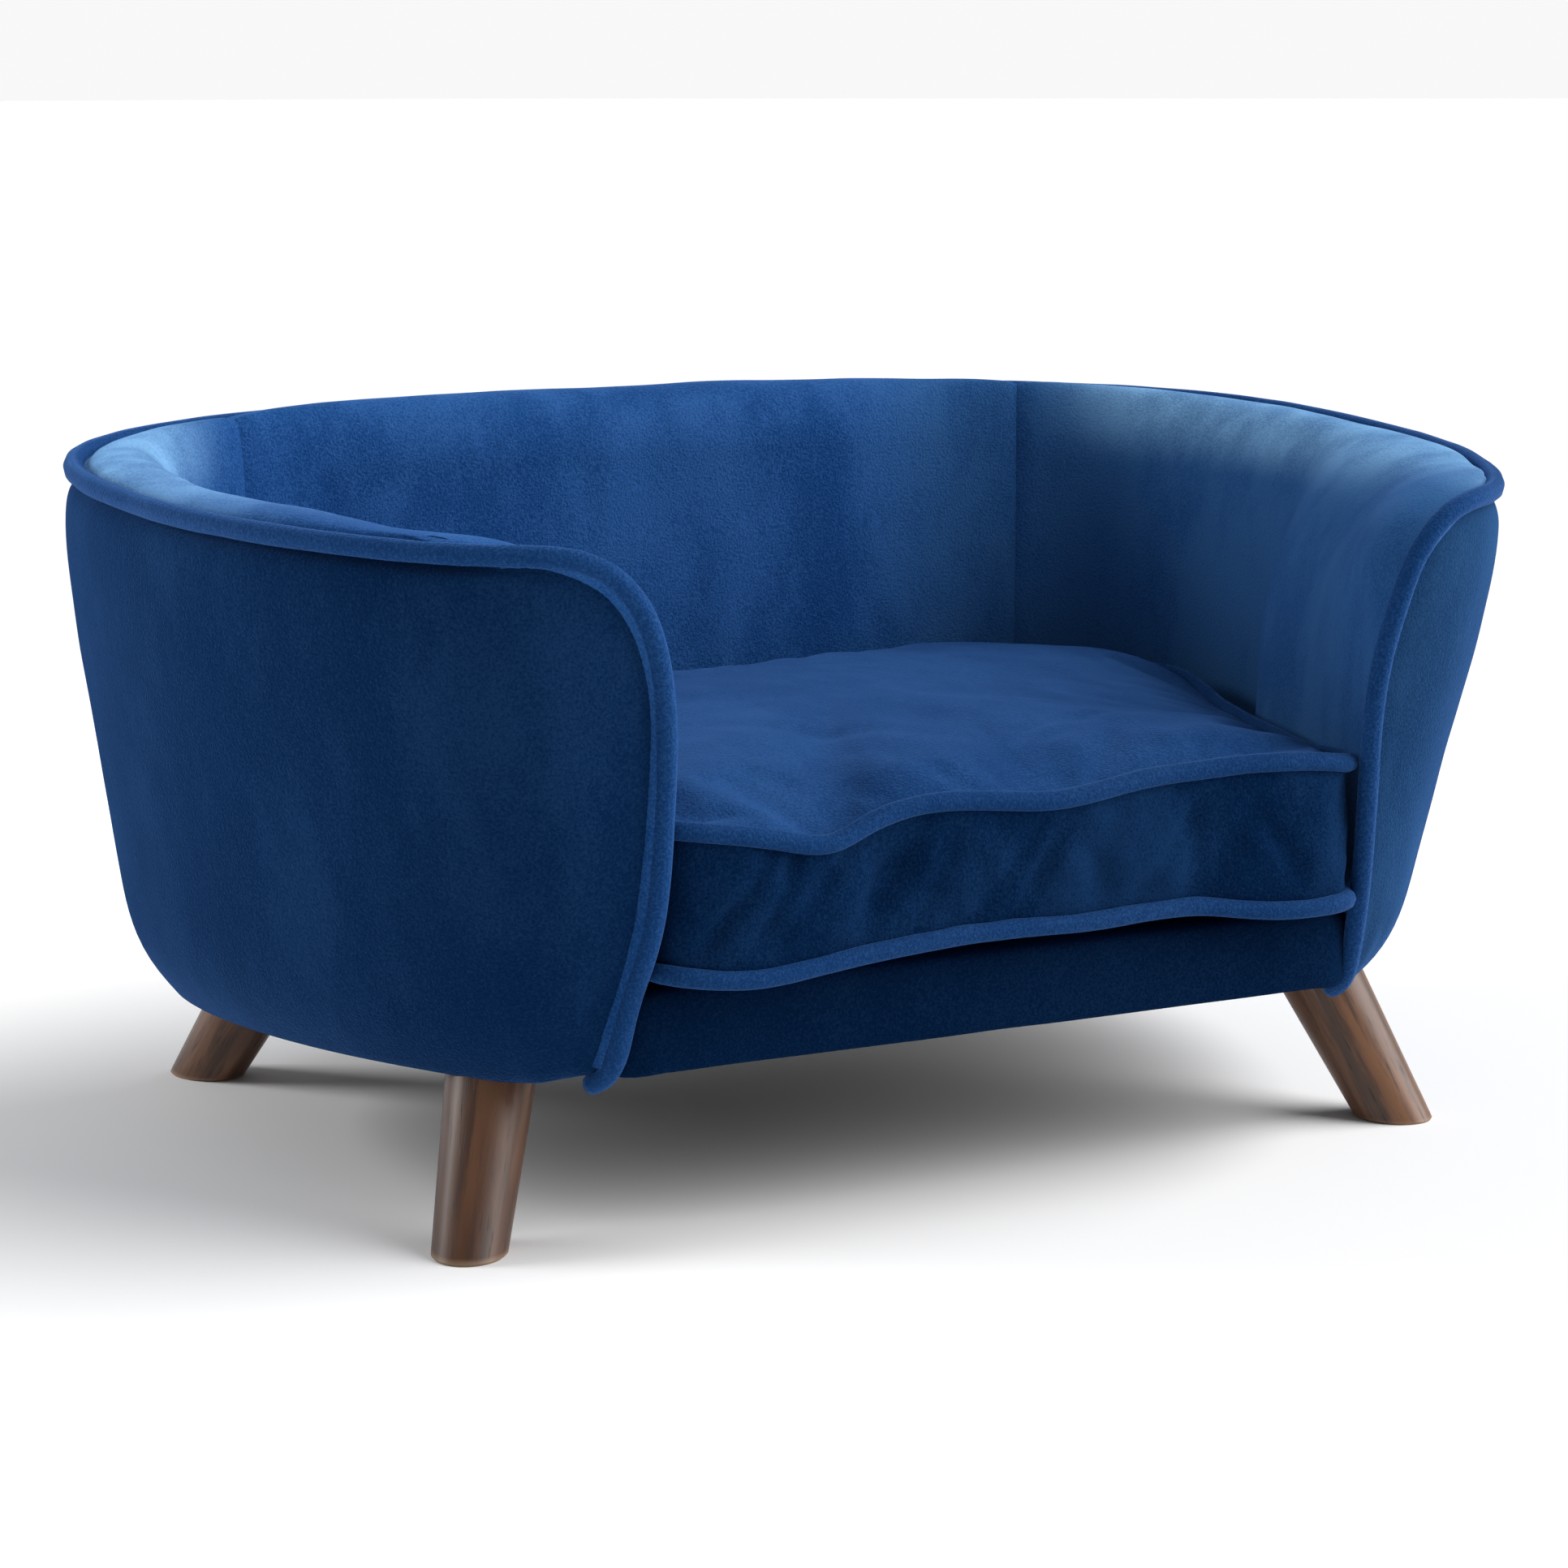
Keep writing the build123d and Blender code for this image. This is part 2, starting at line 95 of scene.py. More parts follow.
def smooth_line(points: list[tuple[float, ...]], count: int) -> np.ndarray:
    """Evenly spaced points on a smooth curve through a few given ones.

    Args:
        points: the points that the curve passes through.
        count: how many points to return.

    Returns:
        The curve as an array of points.
    """
    control = np.array(points, float)
    dense = spline_matrix(chord_knots(control), np.linspace(0, 1, 12 * len(control))) @ control
    return spline_matrix(chord_knots(dense), np.linspace(0, 1, count)) @ dense


def table(pairs: list[tuple[float, float]], value: np.ndarray | float) -> np.ndarray:
    """Smooth interpolation in a short list of (input, output) pairs, held at both ends."""
    xs, ys = np.array(pairs, float).T
    clipped = np.clip(np.atleast_1d(np.asarray(value, float)), xs[0], xs[-1])
    return spline_matrix(xs, clipped.ravel()) @ ys


def smoothstep(low: float, high: float, value: np.ndarray) -> np.ndarray:
    """0 below low, 1 above high and an easy curve between them."""
    t = np.clip((value - low) / (high - low), 0, 1)
    return t * t * (3 - 2 * t)


def distance(points: np.ndarray, line: np.ndarray) -> np.ndarray:
    """Distance of each point from the nearest point of a line."""
    parts = np.array_split(points, 40)
    return np.concatenate([np.linalg.norm(part[:, None] - line[None], axis=2).min(axis=1) for part in parts])


class ValueNoise:
    """Smooth seeded noise over points in space, from -1 to 1."""

    def __init__(self, seed: int, cells: int = 32) -> None:
        """Fills a repeating lattice of random values.

        Args:
            seed: seed of the lattice.
            cells: lattice points along each axis.
        """
        self.cells = cells
        self.lattice = np.random.default_rng(seed).uniform(-1, 1, (cells, cells, cells))

    def __call__(self, points: np.ndarray, scale: float) -> np.ndarray:
        """Noise at points, with features of one scale in metres."""
        place = np.asarray(points, float) / scale
        cell = np.floor(place).astype(int)
        t = place - cell
        t = t * t * (3 - 2 * t)
        total = np.zeros(len(place))
        for corner in np.ndindex(2, 2, 2):
            pick = (cell + corner) % self.cells
            share = np.prod(np.where(corner, t, 1 - t), axis=1)
            total += share * self.lattice[pick[:, 0], pick[:, 1], pick[:, 2]]
        return total


def grid_object(name: str, grid: np.ndarray) -> bpy.types.Object:
    """Mesh object from a rectangular grid of points.

    Args:
        name: name of the object.
        grid: points as rows by columns by 3.

    Returns:
        The object, with UVs in metres along the rows and columns.
    """
    rows, columns = grid.shape[:2]
    index = np.arange(rows * columns).reshape(rows, columns)
    quads = np.stack([index[:-1, :-1], index[:-1, 1:], index[1:, 1:], index[1:, :-1]], axis=-1)
    mesh = bpy.data.meshes.new(name)
    mesh.from_pydata(grid.reshape(-1, 3).tolist(), [], quads.reshape(-1, 4).tolist())
    along = np.zeros((rows, columns))
    along[:, 1:] = np.cumsum(np.linalg.norm(np.diff(grid, axis=1), axis=2), axis=1)
    across = np.zeros((rows, columns))
    across[1:] = np.cumsum(np.linalg.norm(np.diff(grid, axis=0), axis=2), axis=0)
    uv = np.stack([along.mean(axis=0)[None, :].repeat(rows, 0), across], axis=-1).reshape(-1, 2)
    layer = mesh.uv_layers.new(name="cloth")
    corners = np.array([loop.vertex_index for loop in mesh.loops])
    layer.data.foreach_set("uv", uv[corners].astype(np.float32).ravel())
    piece = bpy.data.objects.new(name, mesh)
    bpy.context.scene.collection.objects.link(piece)
    return piece


def select_only(piece: bpy.types.Object) -> None:
    """Makes one object the only selected and active one."""
    bpy.ops.object.select_all(action="DESELECT")
    piece.select_set(True)
    bpy.context.view_layer.objects.active = piece


def apply_modifiers(piece: bpy.types.Object) -> None:
    """Applies every modifier of an object in order."""
    select_only(piece)
    for modifier in list(piece.modifiers):
        bpy.ops.object.modifier_apply(modifier=modifier.name)


def edit_all(piece: bpy.types.Object, *steps: Callable[[], object]) -> None:
    """Runs steps in edit mode on a piece with all of its mesh selected."""
    select_only(piece)
    bpy.ops.object.mode_set(mode="EDIT")
    bpy.ops.mesh.select_all(action="SELECT")
    for step in steps:
        step()
    bpy.ops.object.mode_set(mode="OBJECT")


def face_outwards(piece: bpy.types.Object) -> None:
    """Merges doubled points and turns all faces of a closed mesh outwards."""
    edit_all(piece, partial(bpy.ops.mesh.remove_doubles, threshold=0.00005),
             partial(bpy.ops.mesh.normals_make_consistent, inside=False))


def smooth_shading(piece: bpy.types.Object, angle: float) -> None:
    """Smooth shading that keeps edges sharper than an angle in degrees."""
    select_only(piece)
    bpy.ops.object.shade_smooth_by_angle(angle=math.radians(angle))


def points_of(piece: bpy.types.Object) -> np.ndarray:
    """Places of a mesh's points."""
    return np.array([vertex.co for vertex in piece.data.vertices])


def move_points(piece: bpy.types.Object, place: np.ndarray) -> None:
    """Puts a mesh's points at new places."""
    piece.data.vertices.foreach_set("co", place.astype(np.float32).ravel())
    piece.data.update()


def close_openings(piece: bpy.types.Object) -> None:
    """Sews up a surface's seam and fills the openings that are left."""
    face_outwards(piece)
    edit_all(piece, partial(bpy.ops.mesh.select_mode, type="EDGE"),
             partial(bpy.ops.mesh.select_all, action="DESELECT"),
             bpy.ops.mesh.select_non_manifold, bpy.ops.mesh.edge_face_add)
    face_outwards(piece)


def thicken(piece: bpy.types.Object, thickness: float) -> None:
    """Gives an open surface a thickness behind its face, so that it is a closed form."""
    solidify = piece.modifiers.new("Thickness", "SOLIDIFY")
    solidify.thickness = thickness
    solidify.offset = -1
    apply_modifiers(piece)
    face_outwards(piece)


def tube(name: str, path: np.ndarray, radius: float, closed: bool) -> bpy.types.Object:
    """Round tube along a line of points, made as a bevelled curve and turned into a mesh.

    Args:
        name: name of the object.
        path: points of the centre line, or points and a radius factor as a fourth value.
        radius: radius of the tube.
        closed: whether the last point joins the first.

    Returns:
        The mesh object.
    """
    curve = bpy.data.curves.new(name, "CURVE")
    curve.dimensions = "3D"
    curve.twist_mode = "MINIMUM"
    curve.bevel_depth = radius
    curve.bevel_resolution = 3
    curve.use_fill_caps = not closed
    spline = curve.splines.new("POLY")
    spline.points.add(len(path) - 1)
    for point, place in zip(spline.points, path):
        point.co = (*place[:3], 1)
        point.radius = place[3] if len(place) > 3 else 1
    spline.use_cyclic_u = closed
    piece = bpy.data.objects.new(name, curve)
    bpy.context.scene.collection.objects.link(piece)
    select_only(piece)
    bpy.ops.object.convert(target="MESH")
    piece = bpy.context.view_layer.objects.active
    face_outwards(piece)
    bpy.ops.object.shade_smooth()
    return piece


# ------------------------------------------------------------------------------------ materials
@dataclass
class Signal:
    """A shader value that can be used in arithmetic: each operation adds a Math node."""

    shader: "Shader"
    socket: bpy.types.NodeSocket

    def _math(self, operation: str, first: object, second: object = 0.0) -> "Signal":
        """Math node on two signals or numbers."""
        return self.shader.node("ShaderNodeMath", {"operation": operation}, {0: first, 1: second})

    def __add__(self, other: object) -> "Signal":
        """Sum."""
        return self._math("ADD", self, other)

    def __radd__(self, other: object) -> "Signal":
        """Sum, reflected."""
        return self._math("ADD", other, self)

    def __sub__(self, other: object) -> "Signal":
        """Difference."""
        return self._math("SUBTRACT", self, other)

    def __rsub__(self, other: object) -> "Signal":
        """Difference, reflected."""
        return self._math("SUBTRACT", other, self)

    def __mul__(self, other: object) -> "Signal":
        """Product."""
        return self._math("MULTIPLY", self, other)

    def __rmul__(self, other: object) -> "Signal":
        """Product, reflected."""
        return self._math("MULTIPLY", other, self)


@dataclass
class Shader:
    """Node material under construction, around one Principled shader."""

    name: str
    material: bpy.types.Material = field(init=False)

    def __post_init__(self) -> None:
        """Makes the material and finds its shader."""
        self.material = bpy.data.materials.new(self.name)
        self.material.use_nodes = True
        self.principled = self.material.node_tree.nodes["Principled BSDF"]

    def node(self, kind: str, settings: dict, inputs: dict, output: object = 0) -> Signal:
        """Adds a node.

        Args:
            kind: the node's type.
            settings: its properties.
            inputs: values or signals for its sockets, by name or number.
            output: name or number of the output to use.

        Returns:
            The chosen output.
        """
        made = self.material.node_tree.nodes.new(kind)
        for key, value in settings.items():
            setattr(made, key, value)
        for key, value in inputs.items():
            self.feed(made.inputs[key], value)
        return Signal(self, made.outputs[output])

    def feed(self, socket: bpy.types.NodeSocket, value: object) -> None:
        """Links a signal to a socket, or sets the socket's own value."""
        if isinstance(value, Signal):
            self.material.node_tree.links.new(value.socket, socket)
        else:
            socket.default_value = value

    def place(self) -> Signal:
        """Object coordinates."""
        return self.node("ShaderNodeTexCoord", {}, {}, "Object")

    def axis(self, name: str) -> Signal:
        """One of the object coordinates: X, Y or Z."""
        return self.node("ShaderNodeSeparateXYZ", {}, {"Vector": self.place()}, name)

    def noise(self, vector: Signal, scale: float, detail: float = 2.0, rough: float = 0.5) -> Signal:
        """Noise value from 0 to 1 at a scale per metre."""
        inputs = {"Vector": vector, "Scale": scale, "Detail": detail, "Roughness": rough}
        return self.node("ShaderNodeTexNoise", {}, inputs, "Fac")

    def stretched(self, vector: Signal, scale: tuple, turn: tuple = (0, 0, 0)) -> Signal:
        """Vector turned and scaled along its axes."""
        inputs = {"Vector": vector, "Rotation": turn, "Scale": scale}
        return self.node("ShaderNodeMapping", {"vector_type": "POINT"}, inputs)

    def mix(self, share: object, first: object, second: object) -> Signal:
        """Colour mix of two colours or signals."""
        made = self.material.node_tree.nodes.new("ShaderNodeMix")
        made.data_type = "RGBA"
        self.feed(made.inputs[0], share)
        self.feed(made.inputs[6], (*first, 1) if isinstance(first, tuple) else first)
        self.feed(made.inputs[7], (*second, 1) if isinstance(second, tuple) else second)
        return Signal(self, made.outputs[2])

    def band(self, value: Signal, low: float, high: float) -> Signal:
        """0 to 1 as a value rises from low to high."""
        settings = {"clamp": True, "interpolation_type": "SMOOTHSTEP"}
        inputs = {"Value": value, "From Min": low, "From Max": high, "To Min": 0.0, "To Max": 1.0}
        return self.node("ShaderNodeMapRange", settings, inputs)

    def bump(self, height: Signal, distance: float, strength: float, under: Signal | None = None) -> Signal:
        """Normal bumped by a height, on top of another normal if one is given."""
        inputs: dict = {"Height": height, "Distance": distance, "Strength": strength}
        if under:
            inputs["Normal"] = under
        return self.node("ShaderNodeBump", {}, inputs)

    def finish(self, **sockets: object) -> bpy.types.Material:
        """Feeds the Principled shader, by socket name with underscores for spaces."""
        for key, value in sockets.items():
            if isinstance(value, tuple) and len(value) == 3:
                value = (*value, 1)
            self.feed(self.principled.inputs[key.replace("_", " ")], value)
        return self.material


@dataclass(frozen=True)
class Velvet:
    """Short-pile velvet: a soft nap that lies in patches, with a pale sheen at grazing angles.

    Attributes:
        name: name of the material.
        depth: strength of the blue; copies of the velvet at different depths paint the light and shade on each
            piece.
        lift: how much lighter the light patches are.
        sheen: strength of the pale sheen.
        patches: how much the patches count beside the pebbles of the pile.
        gloss: strength of the plain reflection.
        arm_top_painted_highlight: strength of a painted highlight over the front of the arms' tops, or 0.
        right_painted_light: strength of painted light on the right side, where the key light falls, or 0.
        along: scale of the patches along each axis.
    """

    name: str
    depth: float
    lift: float = 0.75
    sheen: float = 0.30
    patches: float = 1.0
    gloss: float = 0.04
    arm_top_painted_highlight: float = 0.0
    right_painted_light: float = 0.0
    along: tuple = (1.0, 1.0, 0.45)

    def material(self) -> bpy.types.Material:
        """Builds the material."""
        shader = Shader(self.name)
        place = shader.place()
        brushed = shader.stretched(place, self.along)
        drift = shader.noise(brushed, 12, 3, 0.55)
        smear = shader.noise(brushed, 44, 4, 0.62)
        nap = shader.band(drift + (smear - 0.5) * 0.45, 0.34, 0.68)
        pebble = shader.noise(place, 760, 2, 0.55)
        fibre = shader.noise(place, 2600, 1, 0.5)
        deep = (0.030 * self.depth, 0.262 * self.depth, self.depth)
        light = tuple(a * (1 + self.lift) + b * self.depth for a, b in zip(deep, (0.085, 0.12, 0.0)))
        share = nap * (0.42 * self.patches) + (pebble - 0.5) * 1.6 + (fibre - 0.5) * 0.7 + 0.26
        colour = shader.mix(shader.band(share, 0.0, 1.0), deep, light)
        across, backwards, height = (shader.axis(name) for name in "XYZ")
        # Painted light: a lighter blue on the right side, where the key light falls, and a painted highlight
        # over the front of the arms' tops
        on_top = shader.band(height, 0.316, 0.346) * shader.band(across * across, 0.060, 0.100)
        painted_light_zones = (
            (self.right_painted_light, (0.11, 0.40, 1.0), shader.band(across, 0.12, 0.24)),
            (self.arm_top_painted_highlight, (0.30, 0.62, 1.0), on_top * shader.band(backwards + across, -0.47, -0.30)),
        )
        for strength, tone, mask in painted_light_zones:
            if strength:
                painted_light_tone = tuple(self.depth * strength * part for part in tone)
                grain = shader.band(share, -0.2, 1.1)
                colour = shader.mix(mask * (0.30 + nap * 0.25 + grain * 0.45), colour, painted_light_tone)
        normal = shader.bump(pebble, 0.00080, 0.8)
        normal = shader.bump(fibre, 0.00012, 0.5, normal)
        normal = shader.bump(smear, 0.0016, 0.30, normal)
        return shader.finish(
            Base_Color=colour, Roughness=0.86 - nap * 0.12, Normal=normal, Specular_IOR_Level=self.gloss,
            Sheen_Weight=self.sheen, Sheen_Roughness=0.38, Sheen_Tint=(0.17, 0.40, 1.0),
        )


@dataclass(frozen=True)
class LegWood:
    """Stained rubberwood under satin lacquer, with fine dark pores along the leg."""

    name: str
    axis: tuple
    seed: float

    def material(self) -> bpy.types.Material:
        """Builds the material, with its grain along the leg's axis."""
        shader = Shader(self.name)
        turn = Vector(self.axis).rotation_difference(Vector((0, 0, 1))).to_euler()
        along = shader.stretched(shader.place(), (1, 1, 1), tuple(turn))
        along = shader.node("ShaderNodeVectorMath", {"operation": "ADD"}, {0: along, 1: (self.seed,) * 3})
        figure = shader.noise(shader.stretched(along, (1, 1, 0.09)), 95, 5, 0.62)
        broad = shader.noise(shader.stretched(along, (1, 1, 0.22)), 24, 3, 0.5)
        pores = shader.noise(shader.stretched(along, (1, 1, 0.045)), 950, 2, 0.5)
        pore = shader.band(pores, 0.60, 0.68) * shader.band(figure, 0.35, 0.62)
        speck = shader.band(shader.noise(shader.stretched(along, (1, 1, 0.3)), 1500, 1, 0.5), 0.70, 0.76)
        wood = shader.mix(shader.band(broad, 0.3, 0.72), (0.052, 0.017, 0.0065), (0.205, 0.092, 0.043))
        wood = shader.mix(shader.band(figure, 0.42, 0.62) * 0.8, wood, (0.034, 0.013, 0.0065))
        wood = shader.mix(pore * 0.85 + speck * 0.35, wood, (0.020, 0.010, 0.007))
        worn = 1.0 - shader.band(shader.axis("Z") + (broad - 0.5) * 0.006, 0.0008, 0.0035)
        wood = shader.mix(worn * 0.55, wood, (0.30, 0.19, 0.11))
        normal = shader.bump(pore, 0.00012, 0.5)
        normal = shader.bump(figure, 0.0002, 0.25, normal)
        return shader.finish(
            Base_Color=wood, Roughness=0.40 + figure * 0.12 + pore * 0.2, Normal=normal,
            Coat_Weight=0.22, Coat_Roughness=0.30, Specular_IOR_Level=0.45,
        )


@dataclass(frozen=True)
class WovenCloth:
    """Plain woven or bonded cloth with threads at a pitch."""

    name: str
    colour: tuple
    second: tuple
    pitch: float = 0.0009
    roughness: float = 0.85

    def material(self) -> bpy.types.Material:
        """Builds the material."""
        shader = Shader(self.name)
        place = shader.place()
        waves = []
        for direction in ("X", "Y"):
            settings = {"bands_direction": direction, "wave_profile": "SIN"}
            inputs = {"Vector": place, "Scale": 0.314 / self.pitch, "Distortion": 0.6, "Detail": 1.0}
            waves.append(shader.node("ShaderNodeTexWave", settings, inputs, "Fac"))
        weave = waves[0] * waves[1]
        stain = shader.noise(place, 30, 3, 0.6)
        colour = shader.mix(weave * 0.7 + stain * 0.3, self.colour, self.second)
        normal = shader.bump(weave, 0.00015, 0.6)
        return shader.finish(
            Base_Color=colour, Roughness=self.roughness, Normal=normal, Specular_IOR_Level=0.2,
        )


@dataclass(frozen=True)
class Timber:
    """Raw plywood, pine or hardboard, with grain along X."""

    name: str
    pale: tuple
    dark: tuple
    grain: tuple = (0.08, 1.0, 1.0)

    def material(self) -> bpy.types.Material:
        """Builds the material."""
        shader = Shader(self.name)
        along = shader.stretched(shader.place(), self.grain)
        figure = shader.noise(along, 120, 4, 0.6)
        fibre = shader.noise(along, 1100, 2, 0.5)
        colour = shader.mix(shader.band(figure, 0.35, 0.7) * 0.7 + fibre * 0.3, self.pale, self.dark)
        normal = shader.bump(fibre, 0.0002, 0.4)
        return shader.finish(Base_Color=colour, Roughness=0.6 + figure * 0.2, Normal=normal)


@dataclass(frozen=True)
class PlatedMetal:
    """Zinc-plated or painted metal with fine scratches."""

    name: str
    colour: tuple
    metallic: float = 1.0
    roughness: float = 0.34

    def material(self) -> bpy.types.Material:
        """Builds the material."""
        shader = Shader(self.name)
        scratch = shader.noise(shader.stretched(shader.place(), (1, 0.15, 1)), 2600, 2, 0.6)
        blotch = shader.noise(shader.place(), 180, 3, 0.6)
        dull = tuple(0.72 * part for part in self.colour)
        colour = shader.mix(shader.band(blotch, 0.35, 0.75), self.colour, dull)
        normal = shader.bump(scratch, 0.00004, 0.4)
        roughness = self.roughness + (scratch - 0.5) * 0.2
        return shader.finish(Base_Color=colour, Roughness=roughness, Metallic=self.metallic, Normal=normal)


def dress(piece: bpy.types.Object, material: bpy.types.Material) -> None:
    """Gives a piece one material on all its faces."""
    piece.data.materials.clear()
    piece.data.materials.append(material)


class Part(Enum):
    """Bodies of the model that the new pieces ride on."""

    TUB = "frame"
    CUSHION = "cushion"


# ------------------------------------------------------------------------------------ the tub
@dataclass
class TubShape:
    """Plan and height of the tub's rim and of the piped front edges."""

    half_width: float = 0.370
    back_depth: float = 0.228
    front_depth: float = 0.364
    centre_y: float = 0.021
    back_power: float = 2.69
    front_power: float = 1.98
    rim_low: float = 0.336
    rim_high: float = 0.3595
    rim_front_y: float = -0.249
    rim_power: float = 1.4
    edge_points: tuple = (
        (0.2080, -0.1960, 0.0870), (0.2050, -0.2100, 0.1160), (0.1990, -0.2240, 0.1550),
        (0.1955, -0.2320, 0.2100), (0.1975, -0.2390, 0.2630), (0.2030, -0.2435, 0.2900),
        (0.2120, -0.2450, 0.3120), (0.2300, -0.2430, 0.3300), (0.2480, -0.2370, 0.3355),
        (0.2650, -0.2270, 0.3365),
    )

    def oval(self, angle: float) -> np.ndarray:
        """Point of the rim in plan at an angle from the back, in degrees."""
        side, along = math.sin(math.radians(angle)), math.cos(math.radians(angle))
        depth, power = self.front_depth, self.front_power
        if along >= 0:
            depth, power = self.back_depth, self.back_power
        reach = (abs(side / self.half_width) ** power + abs(along / depth) ** power) ** (-1 / power)
        return np.array([reach * side, self.centre_y + reach * along])

    def normal(self, angle: float) -> np.ndarray:
        """Outward direction of the rim in plan."""
        run = self.oval(angle + 0.5) - self.oval(angle - 0.5)
        return np.array([-run[1], run[0]]) / np.linalg.norm(run)

    def rim_height(self, y: float) -> float:
        """Height of the piping's centre line on the rim."""
        share = min(max((y - self.rim_front_y) / (self.centre_y + self.back_depth - self.rim_front_y), 0), 1)
        return self.rim_low + (self.rim_high - self.rim_low) * share**self.rim_power

    def rim_point(self, angle: float) -> np.ndarray:
        """Point of the piping's centre line at an angle from the back."""
        x, y = self.oval(angle)
        return np.array([x, y, self.rim_height(y)])

    def front_edge(self, count: int, low: float) -> np.ndarray:
        """Points up the right front edge, from a height to the corner of the rim."""
        line = smooth_line(list(self.edge_points), 200)
        line = line[line[:, 2] >= low]
        return smooth_line([tuple(p) for p in line[:: max(1, len(line) // 24)]] + [tuple(line[-1])], count)

    def piping_line(self, count: int) -> np.ndarray:
        """Centre line of the piping, from the foot of the left front edge to the right one."""
        right = [tuple(self.rim_point(angle)) for angle in range(0, 127, 9)]
        right += list(reversed(self.edge_points))
        tail = [(0.2105, -0.1840, 0.0800)]
        whole = [(-x, y, z) for x, y, z in reversed(right[1:] + tail)] + right + tail
        return smooth_line(whole, count)


@dataclass
class Upholstery:
    """Outer cover, inner back, inner sides, boards and piping of the tub."""

    shape: TubShape = field(default_factory=TubShape)
    piping_radius: float = 0.0052
    skin: float = 0.004
    spacing: float = 0.0055
    # angles from the back of the outer wall's columns, and that of the wall's run into the front edge
    outer_angles: tuple = (0, 11, 22, 33, 43, 53, 63, 74, 86, 98, 109, 119, 128)
    shoulder_angle: float = 124
    # inset of the outer wall inside the rim, against the share of its height from the bottom edge
    wall_inset: tuple = (
        (0.0, 0.0425), (0.05, 0.0325), (0.11, 0.0245), (0.22, 0.0177), (0.34, 0.0130), (0.45, 0.0090),
        (0.56, 0.0050), (0.67, 0.0004), (0.78, -0.0030), (0.86, -0.0047), (0.925, -0.0045), (0.950, -0.0036),
        (0.966, -0.0020), (0.978, 0.0004), (0.990, 0.0034), (1.0, 0.0060),
    )
    front_inset: tuple = ((0.0, 0.0190), (0.3, 0.0160), (0.6, 0.0095), (0.85, 0.0040), (1.0, 0.0))
    bottom: float = 0.0800
    # how the cover turns under the base: further inset and height above the bottom edge
    turn_under: tuple = ((0.0460, 0.0080), (0.0330, 0.0010), (0.0220, -0.0025), (0.0100, -0.0022))
    base_middle: tuple = (0.0, 0.03, 0.0)
    foot: float = 0.0900
    # the corner seams lie at this station, along a wall of this length
    seam_station: int = 2
    wall_length: float = 1.45
    seam_depth: float = 0.0016
    seam_width: float = 0.0030
    # pulled folds beside the foot of each front edge: offset, depth and top
    folds: tuple = ((0.012, 0.0030, 0.155), (0.025, 0.0022, 0.135))
    fold_width: float = 0.0042
    # boards: thickness, grid steps that they stop short of the front edges, and the grid rows
    # and depth inside the cover of each
    board_thickness: float = 0.003
    board_setback: int = 8
    outer_board: tuple = (slice(10, 44), 0.011)
    lining_board: tuple = (slice(3, 24), -0.012)
    # the inner wall leans out above the seat and becomes the roll, then the fall to the piping
    seat_level: float = 0.200
    lean: float = 0.05
    wall_share: float = 0.52
    crown_share: float = 0.84
    tuck_in: float = 0.0022
    tuck_down: float = 0.0045
    # stations of the inner wall: seat-level point, angle of the rim point, rise and inset of the
    # roll, height of its crown above the rim, and height of the wall's lower end
    stations: tuple = (
        ((0.0000, 0.1892), 0, 0.040, 0.024, 0.0095, 0.118),
        ((0.1300, 0.1892), 33, 0.040, 0.024, 0.0092, 0.118),
        ((0.2360, 0.1800), 53, 0.044, 0.024, 0.0072, 0.118),
        ((0.2840, 0.1370), 66, 0.054, 0.025, 0.0066, 0.118),
        ((0.2960, 0.0850), 77, 0.064, 0.027, 0.0066, 0.118),
        ((0.2940, 0.0360), 88, 0.080, 0.028, 0.0068, 0.118),
        ((0.2840, -0.0160), 97, 0.104, 0.027, 0.0072, 0.118),
        ((0.2515, -0.0490), 105, 0.122, 0.025, 0.0080, 0.118),
        ((0.2360, -0.0990), 112, 0.116, 0.021, 0.0085, 0.116),
        ((0.2180, -0.1600), 120, 0.080, 0.014, 0.0068, 0.104),
        ((0.2040, -0.2060), 127, 0.050, 0.008, 0.0050, 0.092),
    )

    def outer_rows(self, angle: float, share: np.ndarray) -> np.ndarray:
        """Points up the outer wall at an angle from the back."""
        (x, y), (nx, ny) = self.shape.oval(angle), self.shape.normal(angle)
        top = self.shape.rim_height(y) - 0.0020
        height = self.bottom + share * (top - self.bottom)
        to_front = float(smoothstep(-0.06, 0.20, np.array(0.061 - y)))
        to_back = float(smoothstep(0.10, 0.24, np.array(y)))
        inset = table(list(self.wall_inset), share)
        low = 1 - smoothstep(0.0, 0.75, share)
        inset = inset * (1 - 0.5 * to_back * low) + table(list(self.front_inset), share) * to_front
        return np.stack([x - inset * nx, y - inset * ny, height], axis=-1)

    def outer_grid(self) -> np.ndarray:
        """Grid of the outer cover, from the hem under the base to the piping."""
        share = np.concatenate([np.linspace(0, 0.92, 44), np.linspace(0.93, 1, 18)])
        right = [self.outer_rows(angle, share) for angle in self.outer_angles]
        end = self.edge_column(self.bottom + 0.007, share)
        right.append(self.shoulder(self.outer_rows(self.shoulder_angle, share), right[-1], end))
        right.append(end + np.array([0.0010, 0.0012, 0.0]))
        columns = self.both_sides(right)
        foot = columns[:, 0]
        inwards = (self.base_middle - foot) * [1, 1, 0]
        inwards /= np.linalg.norm(inwards, axis=1)[:, None]
        hem = [foot + inwards * inset * 0.8 + np.array([0, 0, height]) for inset, height in self.turn_under]
        rows = np.concatenate([np.array(hem), np.transpose(columns, (1, 0, 2))])
        return self.across(rows, 0.0, 1.0)

    def edge_column(self, low: float, share: np.ndarray) -> np.ndarray:
        """Points up the right front edge, from a height to the rim, at shares of its length."""
        edge = self.shape.front_edge(400, low)
        rise = np.linspace(0, 1, 400)
        return np.stack([np.interp(share, rise, edge[:, k]) for k in range(3)], axis=-1)

